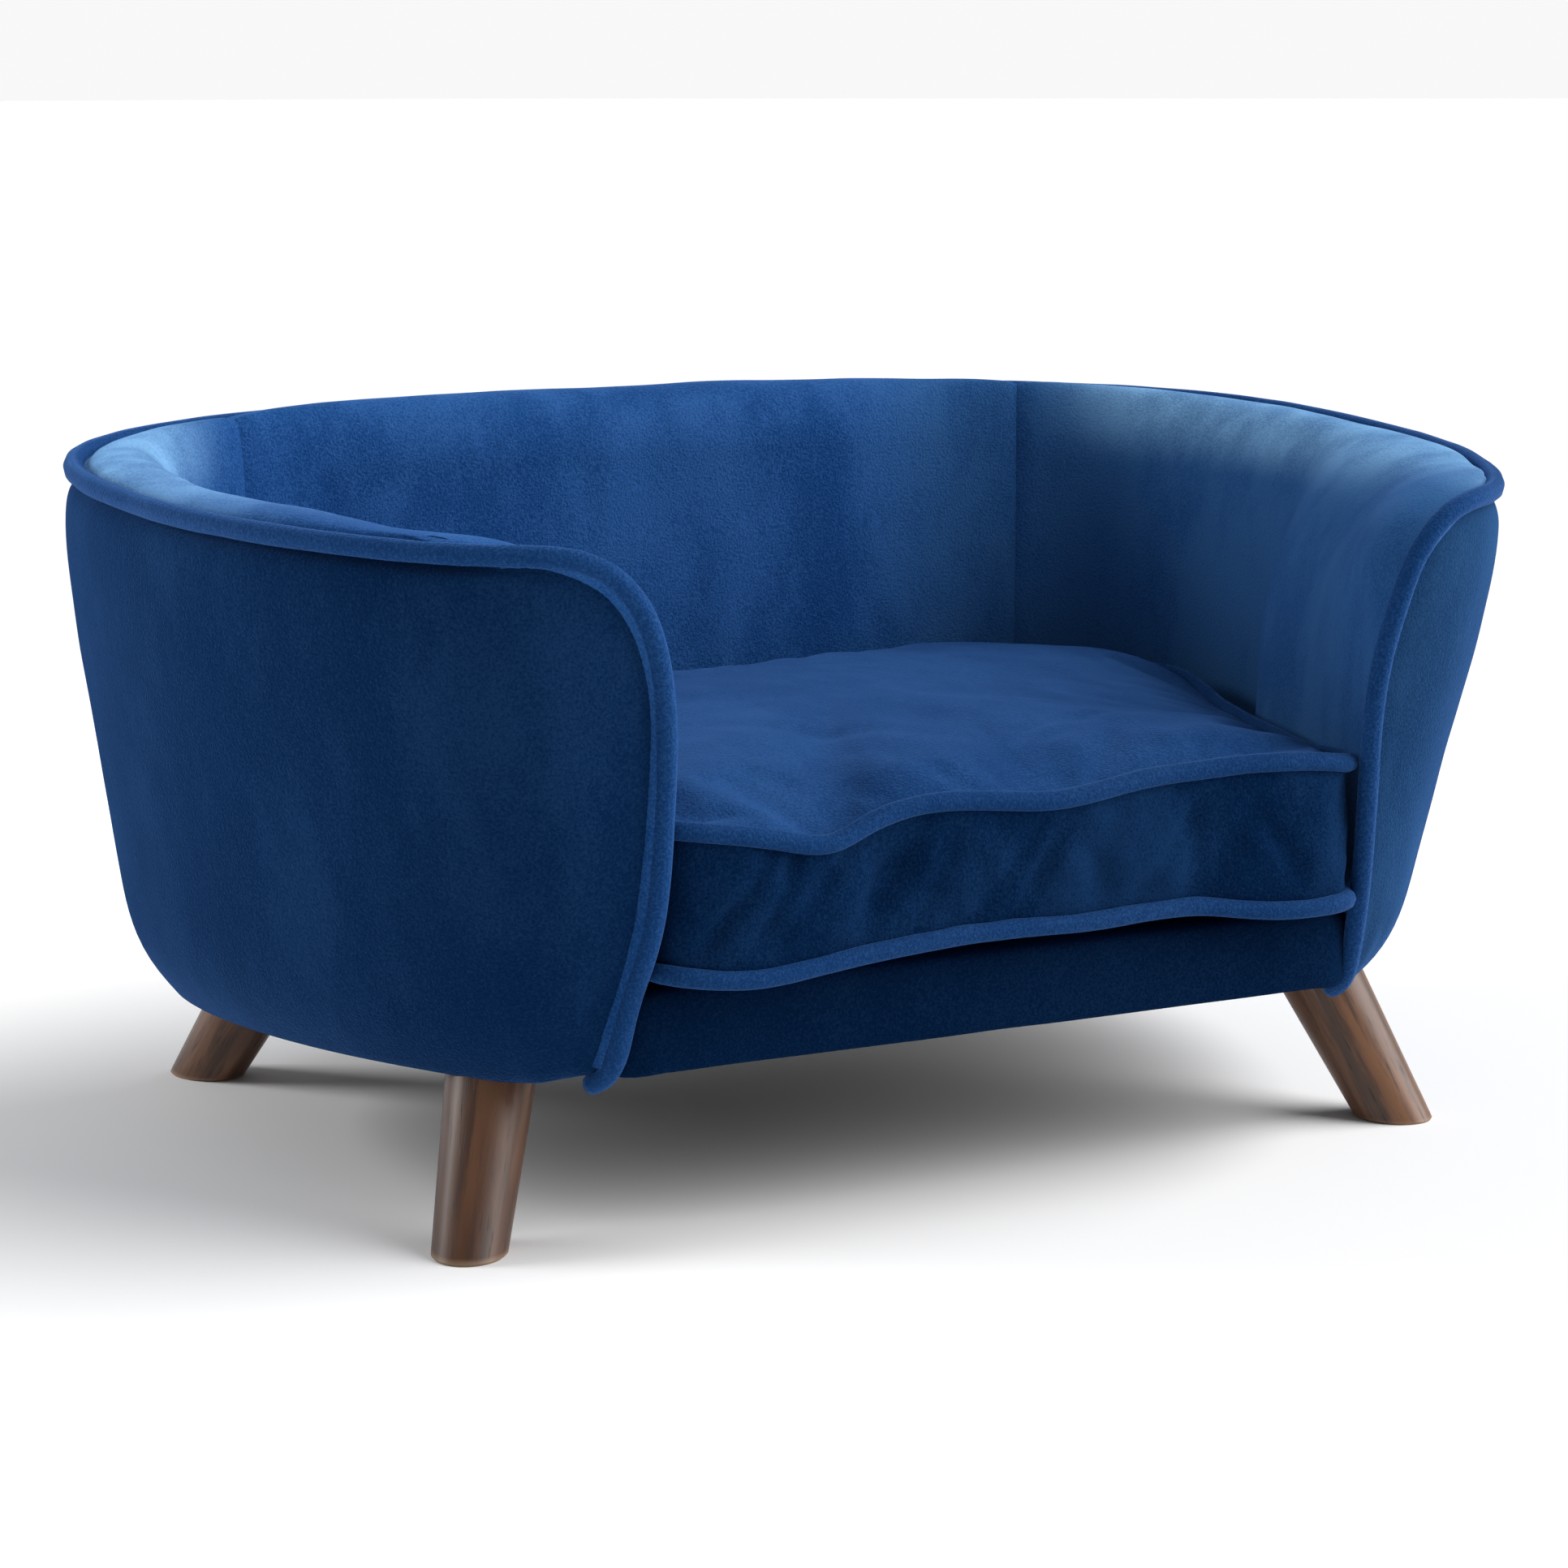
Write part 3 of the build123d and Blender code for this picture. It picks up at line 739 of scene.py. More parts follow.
    @staticmethod
    def shoulder(before: np.ndarray, last: np.ndarray, end: np.ndarray) -> np.ndarray:
        """Column that keeps the outer wall full where it rounds in to the front edge.

        Args:
            before: column a little before the last one of the oval.
            last: last column of the oval.
            end: column of the front edge.

        Returns:
            Points between the last two columns, on an arc that runs on from the wall.
        """
        along, chord = (last - before)[:, :2], (end - last)[:, :2]
        length = np.linalg.norm(chord, axis=1)
        along, chord = along / np.linalg.norm(along, axis=1)[:, None], chord / length[:, None]
        turn = np.arccos(np.clip((along * chord).sum(axis=1), -1, 1))
        swell = 0.46 * length * np.tan(np.minimum(turn, 1.4) / 2)
        column = (last + end) / 2
        column[:, 0] += -chord[:, 1] * swell
        column[:, 1] += chord[:, 0] * swell
        return column

    def section(self, station: tuple, share: np.ndarray) -> np.ndarray:
        """Points up the inner wall and over the roll to the piping, at one station."""
        seat, angle, rise, inset, crown, foot = station
        rim = self.shape.rim_point(angle)
        run = rim[:2] - np.array(seat)
        reach = float(np.linalg.norm(run))
        run /= reach
        top = rim[2] + crown
        start = top - rise
        height = foot + np.clip(share / self.wall_share, 0, 1) * (start - foot)
        out = self.lean * (height - self.seat_level)
        turn = np.clip((share - self.wall_share) / (self.crown_share - self.wall_share), 0, 1) * math.pi / 2
        to_roll = reach - inset - self.lean * (start - self.seat_level)
        out = out + to_roll * (1 - np.cos(turn)) * (share > self.wall_share)
        height = height + rise * np.sin(turn)
        drop = np.clip((share - self.crown_share) / (1 - self.crown_share), 0, 1) * math.pi / 2
        out = out + (inset - self.tuck_in) * np.sin(drop)
        height = height - (top - rim[2] + self.tuck_down) * (1 - np.cos(drop))
        plan = np.array(seat)[None, :] + out[:, None] * run[None, :]
        follow = float(np.interp(angle, (105, 112, 120, 127), (0.0, 0.30, 0.65, 1.0)))
        edge = np.array(self.shape.edge_points[:4])
        plan[:, 0] += follow * (np.interp(height, edge[:, 2], edge[:, 0]) - edge[3, 0])
        plan[:, 1] += follow * (np.interp(height, edge[:, 2], edge[:, 1]) - edge[3, 1])
        return np.concatenate([plan, height[:, None]], axis=1)

    def inner_columns(self) -> tuple[np.ndarray, np.ndarray]:
        """Columns of the inner wall on both sides, and their running share along the wall."""
        share = np.concatenate([np.linspace(0, 0.5, 26), np.linspace(0.515, 1, 42)])
        right = [self.section(station, share) for station in self.stations]
        right.append(self.edge_column(self.foot, share) + np.array([0.0002, 0.0010, 0.0]))
        columns = self.both_sides(right)
        return columns, chord_knots(columns[:, 20])

    @staticmethod
    def both_sides(right: list[np.ndarray]) -> np.ndarray:
        """Columns of the left side, mirrored, followed by those of the right side."""
        flip = np.array([-1.0, 1.0, 1.0])
        return np.array([column * flip for column in reversed(right[1:])] + right)

    def across(self, rows: np.ndarray, start: float, end: float,
               knots: np.ndarray | None = None) -> np.ndarray:
        """Smooth surface through rows of station points, between two shares of its length."""
        if knots is None:
            knots = chord_knots(rows[len(rows) // 2])
        length = np.linalg.norm(np.diff(rows[len(rows) // 2], axis=0), axis=1).sum() * (end - start)
        samples = np.linspace(start, end, int(length / self.spacing) + 1)
        return np.einsum("sk,rkc->rsc", spline_matrix(knots, samples), rows)

    def groove(self, points: np.ndarray) -> np.ndarray:
        """Depth by which the covers are drawn in along the seam of the piping."""
        near = distance(points, self.shape.piping_line(360))
        beside = 0.0014 * np.exp(-(((near - 0.0062) / 0.0028) ** 2))
        return beside + 0.0006 * np.exp(-((near / 0.016) ** 2))

    def build_outer(self, velvet: bpy.types.Material) -> bpy.types.Object:
        """Outer cover with its padding, in one length round the tub."""
        grid = self.outer_grid()
        rows, columns = grid.shape[:2]
        flat = grid.reshape(-1, 3)
        noise = ValueNoise(11)
        centre = np.array([0, 0.02, 0.2])
        away = flat - centre
        away[:, 2] = 0
        away /= np.linalg.norm(away, axis=1)[:, None]
        calm = 1 - smoothstep(0.31, 0.35, flat[:, 2])
        swell = noise(flat, 0.11) * 0.0012 + noise(flat * [1, 1, 1.6], 0.045) * 0.0004
        flat = flat + away * (swell * calm)[:, None]
        flat = flat + away * (self.corner_folds(flat) - self.groove(flat))[:, None]
        piece = grid_object("outer_cover_velvet", flat.reshape(rows, columns, 3))
        edit_all(piece, bpy.ops.mesh.flip_normals)
        thicken(piece, self.skin)
        smooth_shading(piece, 70)
        dress(piece, velvet)
        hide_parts("outer_cover", "outer_padding")
        return piece

    def corner_folds(self, points: np.ndarray) -> np.ndarray:
        """Depth of the pulled folds beside the foot of each front edge."""
        depth = np.zeros(len(points))
        for side in (-1, 1):
            x, z = points[:, 0] * side, points[:, 2]
            front = (points[:, 1] < -0.12) * smoothstep(0.19, 0.215, x)
            for offset, deep, height in self.folds:
                line = x - (0.2035 + offset + 0.12 * np.clip(0.15 - z, 0, 1))
                fade = 1 - smoothstep(height - 0.05, height, z)
                pull = deep * (1 if side < 0 else 0.6)
                depth -= pull * np.exp(-((line / self.fold_width) ** 2)) * fade * front
        return depth

    def build_inner(self, velvet: bpy.types.Material) -> list[bpy.types.Object]:
        """Padded inner back and the two padded sides, sewn together at the back corners."""
        columns, knots = self.inner_columns()
        rows = np.transpose(columns, (1, 0, 2))
        middle = len(self.stations)
        seams = knots[middle - self.seam_station], knots[middle + self.seam_station]
        spans = {
            "inner_left_pad": (0.0, seams[0], ("inner_left_cover", "left_foam")),
            "inner_back_pad": (*seams, ("inner_back_cover", "back_foam", "rim_roll")),
            "inner_right_pad": (seams[1], 1.0, ("inner_right_cover", "right_foam")),
        }
        pieces = []
        noise = ValueNoise(5)
        for name, (start, end, nodes) in spans.items():
            grid = self.across(rows, start, end, knots)
            count = grid.shape[:2]
            normal = self.grid_normals(grid)
            flat, normal = grid.reshape(-1, 3), normal.reshape(-1, 3)
            position = np.linspace(start, end, count[1])[None, :].repeat(count[0], 0).ravel()
            swell = noise(flat * [1, 1, 0.4], 0.060) * 0.0011 + noise(flat * [1, 1, 0.5], 0.024) * 0.0004
            for seam in seams:
                gap = np.abs(position - seam) * self.wall_length
                swell -= self.seam_depth * np.exp(-((gap / self.seam_width) ** 2))
                swell -= 0.0007 * np.exp(-((gap / 0.014) ** 2))
            ends = np.minimum(position, 1 - position) * self.wall_length
            swell = swell * smoothstep(0.0, 0.02, ends) - self.groove(flat)
            piece = grid_object(name, (flat + normal * swell[:, None]).reshape(*count, 3))
            thicken(piece, self.skin)
            smooth_shading(piece, 70)
            dress(piece, velvet)
            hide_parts(*nodes)
            pieces.append(piece)
        return pieces

    @staticmethod
    def grid_normals(grid: np.ndarray) -> np.ndarray:
        """Unit normals of a grid, towards the inside of the tub and up."""
        along = np.gradient(grid, axis=1)
        up = np.gradient(grid, axis=0)
        normal = np.cross(along, up)
        return normal / np.linalg.norm(normal, axis=2)[..., None]

    def build_boards(self) -> None:
        """Bent boards behind the outer and the inner wall, short of the tub's front edges."""
        (outer_part, outer_depth), (lining_part, lining_depth) = self.outer_board, self.lining_board
        columns, knots = self.inner_columns()
        lining = self.across(np.transpose(columns, (1, 0, 2))[lining_part], 0.0, 1.0, knots)
        boards = (("outer_bent_board", self.outer_grid()[outer_part], outer_depth, "outer_board"),
                  ("lining_bent_board", lining, lining_depth, "lining_board"))
        for name, wall, depth, node in boards:
            wall = wall[:, self.board_setback : -self.board_setback]
            piece = grid_object(name, wall + self.grid_normals(wall) * depth)
            thicken(piece, self.board_thickness)
            smooth_shading(piece, 50)
            dress(piece, Timber(name, (0.22, 0.14, 0.08), (0.14, 0.085, 0.045), (1.0, 1.0, 1.0)).material())
            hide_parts(node)
            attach(piece, Part.TUB.value)

    def build_piping(self, velvet: bpy.types.Material) -> bpy.types.Object:
        """Piping round the rim and down both front edges."""
        line = self.shape.piping_line(620)
        noise = ValueNoise(23)
        wobble = np.stack([noise(line + shift, 0.05) for shift in (0.0, 3.1, 7.7)], axis=-1) * 0.0004
        width = 1 + noise(line, 0.018)[:, None] * 0.035
        piece = tube("rim_piping_velvet", np.hstack([line + wobble, width]), self.piping_radius, False)
        dress(piece, velvet)
        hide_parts("rim_piping")
        return piece

    def build(self) -> None:
        """Makes and places all of the tub's pieces."""
        # Copies of one velvet at different depths paint light and shade: the outer cover is darker and the
        # inner wall lighter. Both also get painted light on the right side, and the inner wall gets a painted
        # highlight over the arms' tops
        outside = Velvet("velvet_outer_painted_light_and_shade", depth=0.058, patches=0.9, sheen=0.34, gloss=0.0, right_painted_light=2.6)
        inside = Velvet("velvet_inner_painted_light", depth=0.170, patches=1.1, arm_top_painted_highlight=4.2, right_painted_light=1.6)
        seam = Velvet("velvet_piping", depth=0.125, patches=0.3, sheen=0.4)
        outer = self.build_outer(outside.material())
        inner = self.build_inner(inside.material())
        piping = self.build_piping(seam.material())
        for piece in (outer, *inner, piping):
            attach(piece, Part.TUB.value)
            log.info("tub: %s", piece.name)
        self.build_boards()


# ------------------------------------------------------------------------------------ the front
@dataclass
class FrontRail:
    """Upholstered rail across the front, under the cushion."""

    half_length: float = 0.2060
    face_y: float = -0.2110
    low: float = 0.0868
    high: float = 0.1285
    depth: float = 0.030
    # exponent of the rounded section, and share of the length from which the ends turn in
    roundness: float = 0.34
    turn_from: float = 0.90

    def build(self) -> None:
        """Padded bar with rounded edges that turn in beside the arms."""
        count_x, count_s = 90, 40
        along = np.linspace(-1, 1, count_x)
        ring = np.linspace(0, 2 * math.pi, count_s, endpoint=False)
        noise = ValueNoise(31)
        grid = np.zeros((count_s + 1, count_x, 3))
        for j, t in enumerate(along):
            end = np.clip((abs(t) - self.turn_from) / (1 - self.turn_from), 0, 1)
            shrink = math.sqrt(max(1 - end**2, 0.04))
            for i in range(count_s + 1):
                a = ring[i % count_s]
                c, s = math.cos(a), math.sin(a)
                dy = math.copysign(abs(c) ** self.roundness, c) * self.depth / 2
                dz = math.copysign(abs(s) ** self.roundness, s) * (self.high - self.low) / 2
                y = self.face_y + self.depth / 2 + dy * (0.75 + 0.25 * shrink) + 0.007 * end**2
                z = (self.low + self.high) / 2 + dz * (0.86 + 0.14 * shrink) - 0.003 * end
                grid[i, j] = (t * self.half_length, y, z)
        flat = grid.reshape(-1, 3)
        flat[:, 1] += noise(flat, 0.035) * 0.0009
        piece = grid_object("front_rail_velvet", grid)
        close_openings(piece)
        smooth_shading(piece, 60)
        # Darker copy of the velvet: painted shade on the rail under the cushion
        dress(piece, Velvet("velvet_rail_painted_shade", depth=0.032, patches=0.5, sheen=0.05, gloss=0.0).material())
        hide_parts("front_rail_cover", "front_rail_foam")
        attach(piece, Part.TUB.value)
        log.info("front: %s", piece.name)


# ------------------------------------------------------------------------------------ cushion
@dataclass
class SeatCushion:
    """Loose boxed cushion: crowned top, boxing and wavy piping."""

    front_y: float = -0.231
    top_piping: float = 0.2065
    bottom_piping: float = 0.1385
    piping_radius: float = 0.0048
    crown: float = 0.0105
    # waviness of the front piping against the share from its left end, in metres
    top_wave: tuple = (
        (0.0, 0.0), (0.06, -0.003), (0.14, -0.0085), (0.21, -0.0115), (0.26, -0.0055), (0.33, 0.001),
        (0.45, 0.0), (0.55, -0.0025), (0.66, 0.0025), (0.78, 0.0045), (0.92, 0.004), (1.0, 0.0),
    )
    bottom_wave: tuple = (
        (0.0, 0.0), (0.1, -0.004), (0.19, -0.0025), (0.28, 0.001), (0.42, 0.0044), (0.6, 0.0037),
        (0.77, 0.004), (0.87, -0.001), (1.0, -0.0015),
    )
    outline: tuple = (
        (0.0, 0.172), (0.110, 0.172), (0.190, 0.166), (0.242, 0.136), (0.264, 0.085), (0.262, 0.030),
        (0.2410, -0.035), (0.2205, -0.100), (0.2010, -0.170), (0.1925, -0.208),
    )
    front_corner: float = 0.014
    middle_y: float = -0.02
    # shares of the way out from the middle at which the underside and the crown have a ring
    underside: tuple = (0.02, 0.3, 0.6, 0.85)
    over: tuple = (0.975, 0.94, 0.89, 0.82, 0.68, 0.52, 0.36, 0.2, 0.02)
    # the cushion's cloth, how many steps it is filled for, and how far the filling moves it
    cloth: tuple = (
        ("quality", 6), ("mass", 0.25), ("tension_stiffness", 12), ("compression_stiffness", 6),
        ("shear_stiffness", 4), ("bending_stiffness", 0.4), ("shrink_min", -0.028), ("use_pressure", True),
        ("uniform_pressure_force", 3.6), ("vertex_group_mass", "held"),
    )
    fill_steps: int = 20
    fill_travel: float = 0.009
    # folds across the boxing: place along the front, width, depth and slant
    folds: tuple = (
        (-0.158, 0.007, 0.0030, 1.4), (-0.138, 0.006, 0.0024, 0.9), (-0.118, 0.009, 0.0022, 1.8),
        (-0.080, 0.012, 0.0026, 1.2), (-0.052, 0.008, 0.0020, 0.7), (-0.012, 0.010, 0.0026, 1.5),
        (0.006, 0.007, 0.0022, 1.0), (0.035, 0.012, 0.0016, -0.9), (0.078, 0.010, 0.0022, 1.6),
        (0.112, 0.012, 0.0018, 1.1), (0.140, 0.009, 0.0020, -1.2),
    )
    # dents in the top: place, direction in radians, length, width and depth
    dents: tuple = (
        (0.040, -0.160, 0.9, 0.030, 0.0045, 0.0016), (0.056, -0.168, 0.6, 0.034, 0.0050, 0.0018),
        (0.020, -0.150, 1.2, 0.024, 0.0040, 0.0012), (0.075, -0.150, 0.2, 0.040, 0.0060, 0.0012),
        (-0.060, -0.120, 2.5, 0.060, 0.0100, 0.0012), (0.150, -0.110, 2.1, 0.060, 0.0090, 0.0012),
    )

    @property
    def seams(self) -> tuple:
        """Height, waviness and inset of the top and of the bottom piping."""
        return (self.top_piping, self.top_wave, 0.0), (self.bottom_piping, self.bottom_wave, -0.001)

    def loop(self, height: float, wave: tuple, inset: float, count: int) -> np.ndarray:
        """Closed loop of the piping at one height, starting at the middle of the back."""
        right = [(x - inset * x / 0.26, y) for x, y in self.outline]
        half = right[-1][0] - 0.004
        front = [(half - 0.002, self.front_y + self.front_corner * 0.35)]
        front.append((half - self.front_corner, self.front_y))
        front += [(x, self.front_y) for x in (half * 0.6, half * 0.3, 0.0)]
        path = right + front
        whole = path + [(-x, y) for x, y in reversed(path[1:-1])]
        line = smooth_line([(x, y, height) for x, y in whole + whole[:1]], count + 1)[:-1]
        share = np.clip((line[:, 0] + half) / (2 * half), 0, 1)
        near = 1 - smoothstep(0.0, 0.05, line[:, 1] - self.front_y)
        line[:, 2] += table(list(wave), share) * near
        line[:, 1] += table(list(wave), share) * near * 0.35
        pressed = smoothstep(-0.215, -0.16, line[:, 1]) * (1 - smoothstep(-0.02, 0.05, line[:, 1]))
        line[:, 2] -= 0.0045 * pressed * (height > 0.17)
        return line

    def wave_at(self, x: float) -> float:
        """Rise or fall of the front's top piping at a place across the front."""
        return float(table(list(self.top_wave), (x + 0.189) / 0.378)[0])

    def body(self, count: int = 260) -> bpy.types.Object:
        """Closed body of the cushion before it is filled."""
        top, low = (self.loop(*seam, count) for seam in self.seams)
        low_middle, top_middle = (np.array([0, self.middle_y, seam[0]]) for seam in reversed(self.seams))
        rings = [low_middle + (low - low_middle) * k for k in self.underside]
        rings += [low + (top - low) * k for k in np.linspace(0, 1, 12)]
        for k in self.over:
            rings.append(top_middle + (top - top_middle) * k)
            rings[-1][:, 2] += self.crown * (1 - k**5)
        grid = np.array(rings)
        piece = grid_object("seat_cushion", np.concatenate([grid, grid[:, :1]], axis=1))
        close_openings(piece)
        return piece

    def fill(self, piece: bpy.types.Object) -> None:
        """Fills the cushion: cloth under pressure, held at both rows of piping."""
        select_only(piece)
        piece.data.remesh_voxel_size = 0.005
        bpy.ops.object.voxel_remesh()
        held = piece.vertex_groups.new(name="held")
        start = points_of(piece)
        for seam in self.seams:
            near = distance(start, self.loop(*seam, 900)) < 0.0042
            held.add(np.nonzero(near)[0].tolist(), 1.0, "REPLACE")
        cloth = piece.modifiers.new("Cloth", "CLOTH")
        for key, value in self.cloth:
            setattr(cloth.settings, key, value)
        cloth.settings.effector_weights.gravity = 0
        for step in range(self.fill_steps):
            bpy.context.scene.frame_set(step + 1)
        apply_modifiers(piece)
        move = points_of(piece) - start
        far = np.linalg.norm(move, axis=1)
        kept = np.minimum(far, self.fill_travel + (far - self.fill_travel).clip(0) * 0.15)
        place = start + move * (kept / np.maximum(far, 1e-9))[:, None]
        place[:, 2] = np.maximum(place[:, 2], self.bottom_piping - 0.0072)
        move_points(piece, place)

    def crease(self, piece: bpy.types.Object) -> None:
        """Crumples of the boxing and the top, which the filling alone doesn't give."""
        place = points_of(piece)
        noise = ValueNoise(47)
        x, y, z = place.T
        middle = (self.top_piping + self.bottom_piping) / 2
        half = (self.top_piping - self.bottom_piping) / 2
        boxing = np.exp(-(((z - middle) / (half * 0.72)) ** 4)) * (1 - smoothstep(0.0, 0.05, y - self.front_y))
        slant = x + (z - middle) * 1.1
        fold = np.zeros(len(place))
        for at, width, deep, tilt in self.folds:
            line = x - at - (z - middle) * tilt * 0.55
            broken = 1 - 0.45 * smoothstep(-0.5, 0.9, np.sin(z * 130 + at * 60))
            fold -= 1.7 * deep * np.exp(-((line / (0.8 * width)) ** 2)) * broken
        fold += noise(np.stack([slant, y, z], 1), 0.016) * 0.0009
        place[:, 1] -= fold * boxing
        top = smoothstep(self.top_piping + 0.001, self.top_piping + 0.006, z)
        for px, py, turn, length, width, deep in self.dents:
            along = (x - px) * math.cos(turn) + (y - py) * math.sin(turn)
            across = -(x - px) * math.sin(turn) + (y - py) * math.cos(turn)
            place[:, 2] -= deep * np.exp(-((across / width) ** 2) - (along / length) ** 2) * top
        place[:, 2] += noise(place, 0.055) * 0.0016 * top + noise(place, 0.02) * 0.0004 * top
        move_points(piece, place)

    def build_body(self) -> bpy.types.Object:
        """Filled and creased body of the cushion."""
        piece = self.body()
        self.fill(piece)
        smooth = piece.modifiers.new("Smooth", "SMOOTH")
        smooth.factor, smooth.iterations = 0.5, 3
        finer = piece.modifiers.new("Finer", "SUBSURF")
        finer.levels = finer.render_levels = 1
        apply_modifiers(piece)
        self.crease(piece)
        face_outwards(piece)
        select_only(piece)
        bpy.ops.object.shade_smooth()
        # Two copies of one velvet: the boxing's sides below the top piping get a darker copy, painted shade
        # under the piping's overhang
        panels = Velvet("velvet_cushion_top", depth=0.118, patches=0.9, along=(1.0, 0.55, 1.0))
        boxing = Velvet("velvet_boxing_painted_shade", depth=0.040, lift=1.0, patches=1.2, sheen=0.08, gloss=0.0)
        dress(piece, panels.material())
        piece.data.materials.append(boxing.material())
        for face in piece.data.polygons:
            seam = self.top_piping + self.wave_at(face.center.x)
            face.material_index = int(abs(face.normal.z) < 0.75 and face.center.z < seam)
        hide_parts("cushion_core", "cushion_top_panel", "cushion_bottom_panel",
                    "cushion_boxing", "zip_boxing")
        return piece

    def build(self) -> None:
        """Makes and places the cushion's pieces."""
        pieces = [self.build_body()]
        velvet = Velvet("velvet_cushion_piping", depth=0.105, patches=0.3).material()
        nodes = ("cushion_top_piping", "cushion_bottom_piping")
        for seed, (node, seam) in enumerate(zip(nodes, self.seams)):
            line = self.loop(*seam, 420)
            noise = ValueNoise(61 + seed)
            line[:, 2] += noise(line, 0.03) * 0.0006
            width = 1 + noise(line, 0.016)[:, None] * 0.04
            piping = tube(node + "_velvet", np.hstack([line, width]), self.piping_radius, True)
            dress(piping, velvet)
            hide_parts(node)
            pieces.append(piping)
        for piece in pieces:
            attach(piece, Part.CUSHION.value)
            log.info("cushion: %s", piece.name)


# ------------------------------------------------------------------------------------ the rest
@dataclass
class CarriedParts:
    """Finishes of the pieces whose shape stays as it is in the model."""

    # each leg and its axis, upwards
    feet: tuple = (("front_leg_right", (-0.36, 0.46, 1)), ("front_leg_left", (0.36, 0.46, 1)),
                   ("back_leg_right", (-0.32, -0.66, 1)), ("back_leg_left", (0.32, -0.66, 1)))

    def build(self) -> None:
        """Dresses legs, frame, screws, cloths and zip."""
        for seed, (node, axis) in enumerate(self.feet):
            dress(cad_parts[node], LegWood("wood_" + node, axis, 3.7 * seed).material())
            smooth_shading(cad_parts[node], 35)
        plywood = Timber("plywood", (0.62, 0.45, 0.27), (0.42, 0.27, 0.14)).material()
        pine = Timber("pine", (0.66, 0.48, 0.28), (0.47, 0.29, 0.14), (1.0, 1.0, 0.08)).material()
        zinc = PlatedMetal("zinc_plate", (0.60, 0.61, 0.60)).material()
        dust = WovenCloth("dust_cloth", (0.008, 0.008, 0.009), (0.020, 0.020, 0.021), 0.0014).material()
        deck = WovenCloth("deck_cloth", (0.006, 0.030, 0.110), (0.011, 0.050, 0.165)).material()
        foam = WovenCloth("foam", (0.75, 0.70, 0.52), (0.62, 0.57, 0.40), 0.0020).material()
        tape = WovenCloth("zip_tape", (0.006, 0.028, 0.100), (0.012, 0.052, 0.170), 0.0006).material()
        nylon = PlatedMetal("zip_nylon", (0.010, 0.040, 0.130), 0.0, 0.45).material()
        paint = PlatedMetal("zip_paint", (0.012, 0.045, 0.150), 0.2, 0.35).material()
        finishes = {
            "base_panel": plywood, "top_rib": plywood, "front_rail": pine, "leg_bolts": zinc,
            "tee_nuts": zinc, "rail_screws": zinc, "post_screws": zinc, "dust_cover": dust,
            "deck_cloth": deck, "deck_foam": foam, "zip_tape": tape, "zip_teeth": nylon,
            "zip_slider": paint, "zip_pull": paint,
        }
        for place in ("back", "side", "arm"):
            for side in ("left", "right"):
                finishes[f"{place}_post_{side}"] = pine
        for node, material in finishes.items():
            dress(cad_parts[node], material)
        log.info("carried parts: %d finished", len(finishes) + len(self.feet))


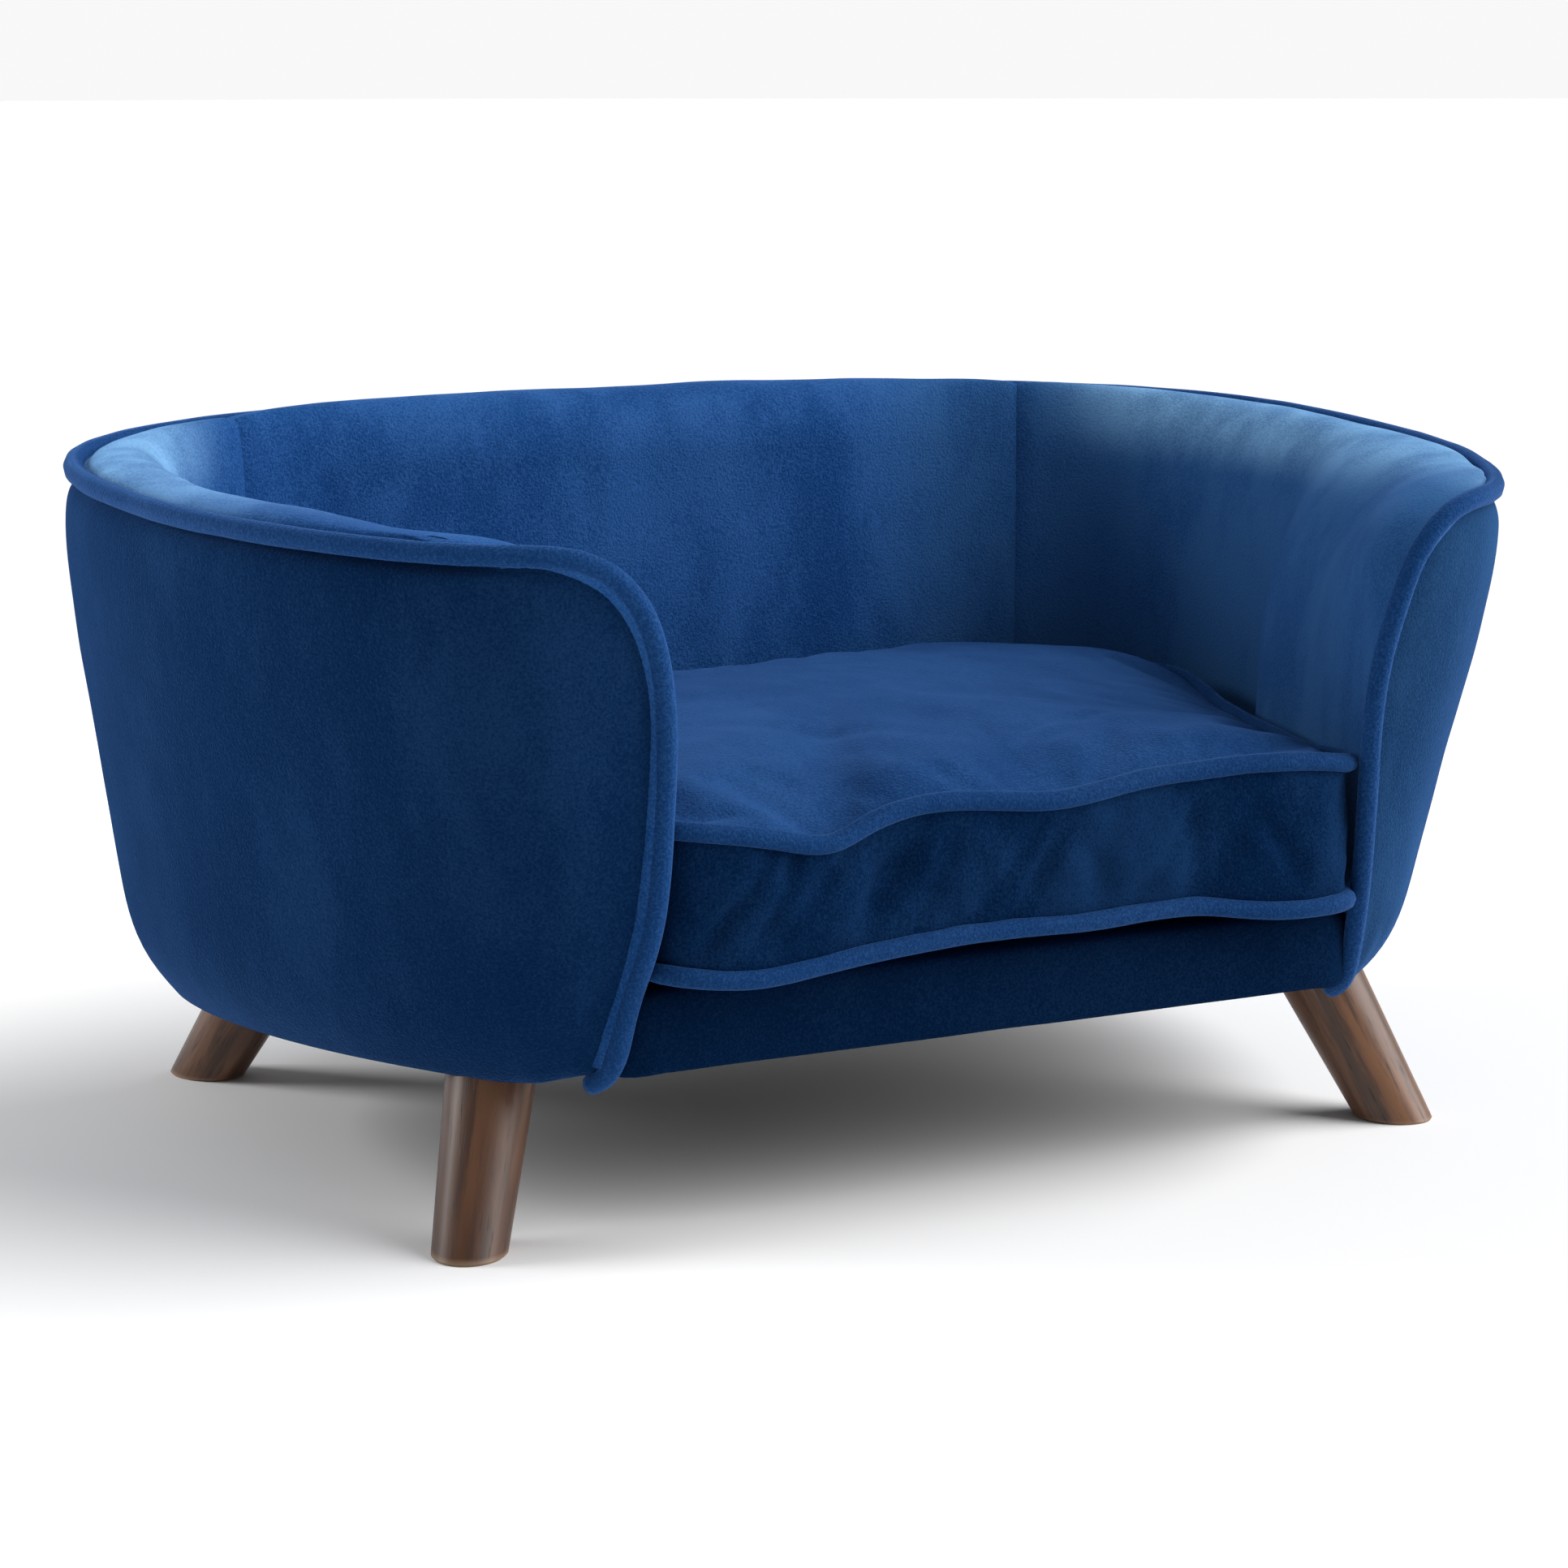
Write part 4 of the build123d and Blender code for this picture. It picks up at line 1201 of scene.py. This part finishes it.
@dataclass
class Studio:
    """Pale floor, soft lights and the camera."""

    azimuth: float = -27.58
    elevation: float = 10.45
    distance: float = 2.110
    target: tuple = (-0.0016, 0.021, 0.1716)
    lens: float = 90.9
    ambient: float = 0.235
    backdrop: float = 0.94
    key: float = 4.5
    key_from: tuple = (0.72, -0.36, 0.60)
    key_spread: float = 62
    edge: float = 20
    edge_place: tuple = (-1.6, 0.9, 0.9)
    edge_size: float = 0.8

    def camera(self) -> None:
        """Makes the scene's camera."""
        a, e = math.radians(self.azimuth), math.radians(self.elevation)
        back = Vector((math.sin(a) * math.cos(e), -math.cos(a) * math.cos(e), math.sin(e)))
        data = bpy.data.cameras.new("camera")
        data.lens = self.lens
        data.sensor_width = 36
        data.clip_end = 50
        camera = bpy.data.objects.new("camera", data)
        bpy.context.scene.collection.objects.link(camera)
        camera.location = Vector(self.target) + back * self.distance
        camera.rotation_euler = back.to_track_quat("Z", "Y").to_euler()
        bpy.context.scene.camera = camera

    def surroundings(self) -> None:
        """Makes the pale surroundings, which look brighter than the light that they give."""
        world = bpy.data.worlds.new("surroundings")
        world.use_nodes = True
        nodes, links = world.node_tree.nodes, world.node_tree.links
        seen = nodes["Background"]
        given = nodes.new("ShaderNodeBackground")
        path, mixed = nodes.new("ShaderNodeLightPath"), nodes.new("ShaderNodeMixShader")
        for background, strength in ((seen, self.backdrop), (given, self.ambient)):
            background.inputs[0].default_value = (1, 1, 1, 1)
            background.inputs[1].default_value = strength
        links.new(path.outputs["Is Camera Ray"], mixed.inputs[0])
        links.new(given.outputs[0], mixed.inputs[1])
        links.new(seen.outputs[0], mixed.inputs[2])
        links.new(mixed.outputs[0], nodes["World Output"].inputs[0])
        bpy.context.scene.world = world

    @staticmethod
    def light(name: str, kind: str, power: float, shines_from: Vector) -> bpy.types.Object:
        """Adds one light that shines from a direction."""
        lamp = bpy.data.objects.new(name, bpy.data.lights.new(name, kind))
        lamp.data.energy = power
        bpy.context.scene.collection.objects.link(lamp)
        lamp.rotation_euler = shines_from.to_track_quat("Z", "Y").to_euler()
        return lamp

    def build(self) -> None:
        """Makes the floor, lights, surroundings and camera."""
        bpy.ops.mesh.primitive_plane_add(size=90, location=(0, 0, 0))
        floor = bpy.context.object
        floor.name = "floor"
        shader = Shader("floor_paint")
        tone = shader.mix(shader.noise(shader.place(), 3, 2), (0.945, 0.945, 0.945), (0.955, 0.955, 0.955))
        dress(floor, shader.finish(Base_Color=tone, Roughness=0.9, Specular_IOR_Level=0.1))
        self.surroundings()
        key = self.light("key", "SUN", self.key, Vector(self.key_from))
        key.data.angle = math.radians(self.key_spread)
        edge = self.light("edge", "AREA", self.edge, Vector(self.edge_place) - Vector((0, 0, 0.2)))
        edge.data.size = self.edge_size
        edge.location = self.edge_place
        bpy.context.scene.view_settings.view_transform = "Standard"
        self.camera()


def main() -> None:
    """Builds the sofa's looks in order."""
    Studio().build()
    Upholstery().build()
    FrontRail().build()
    SeatCushion().build()
    CarriedParts().build()


if __name__ == "__main__":
    main()
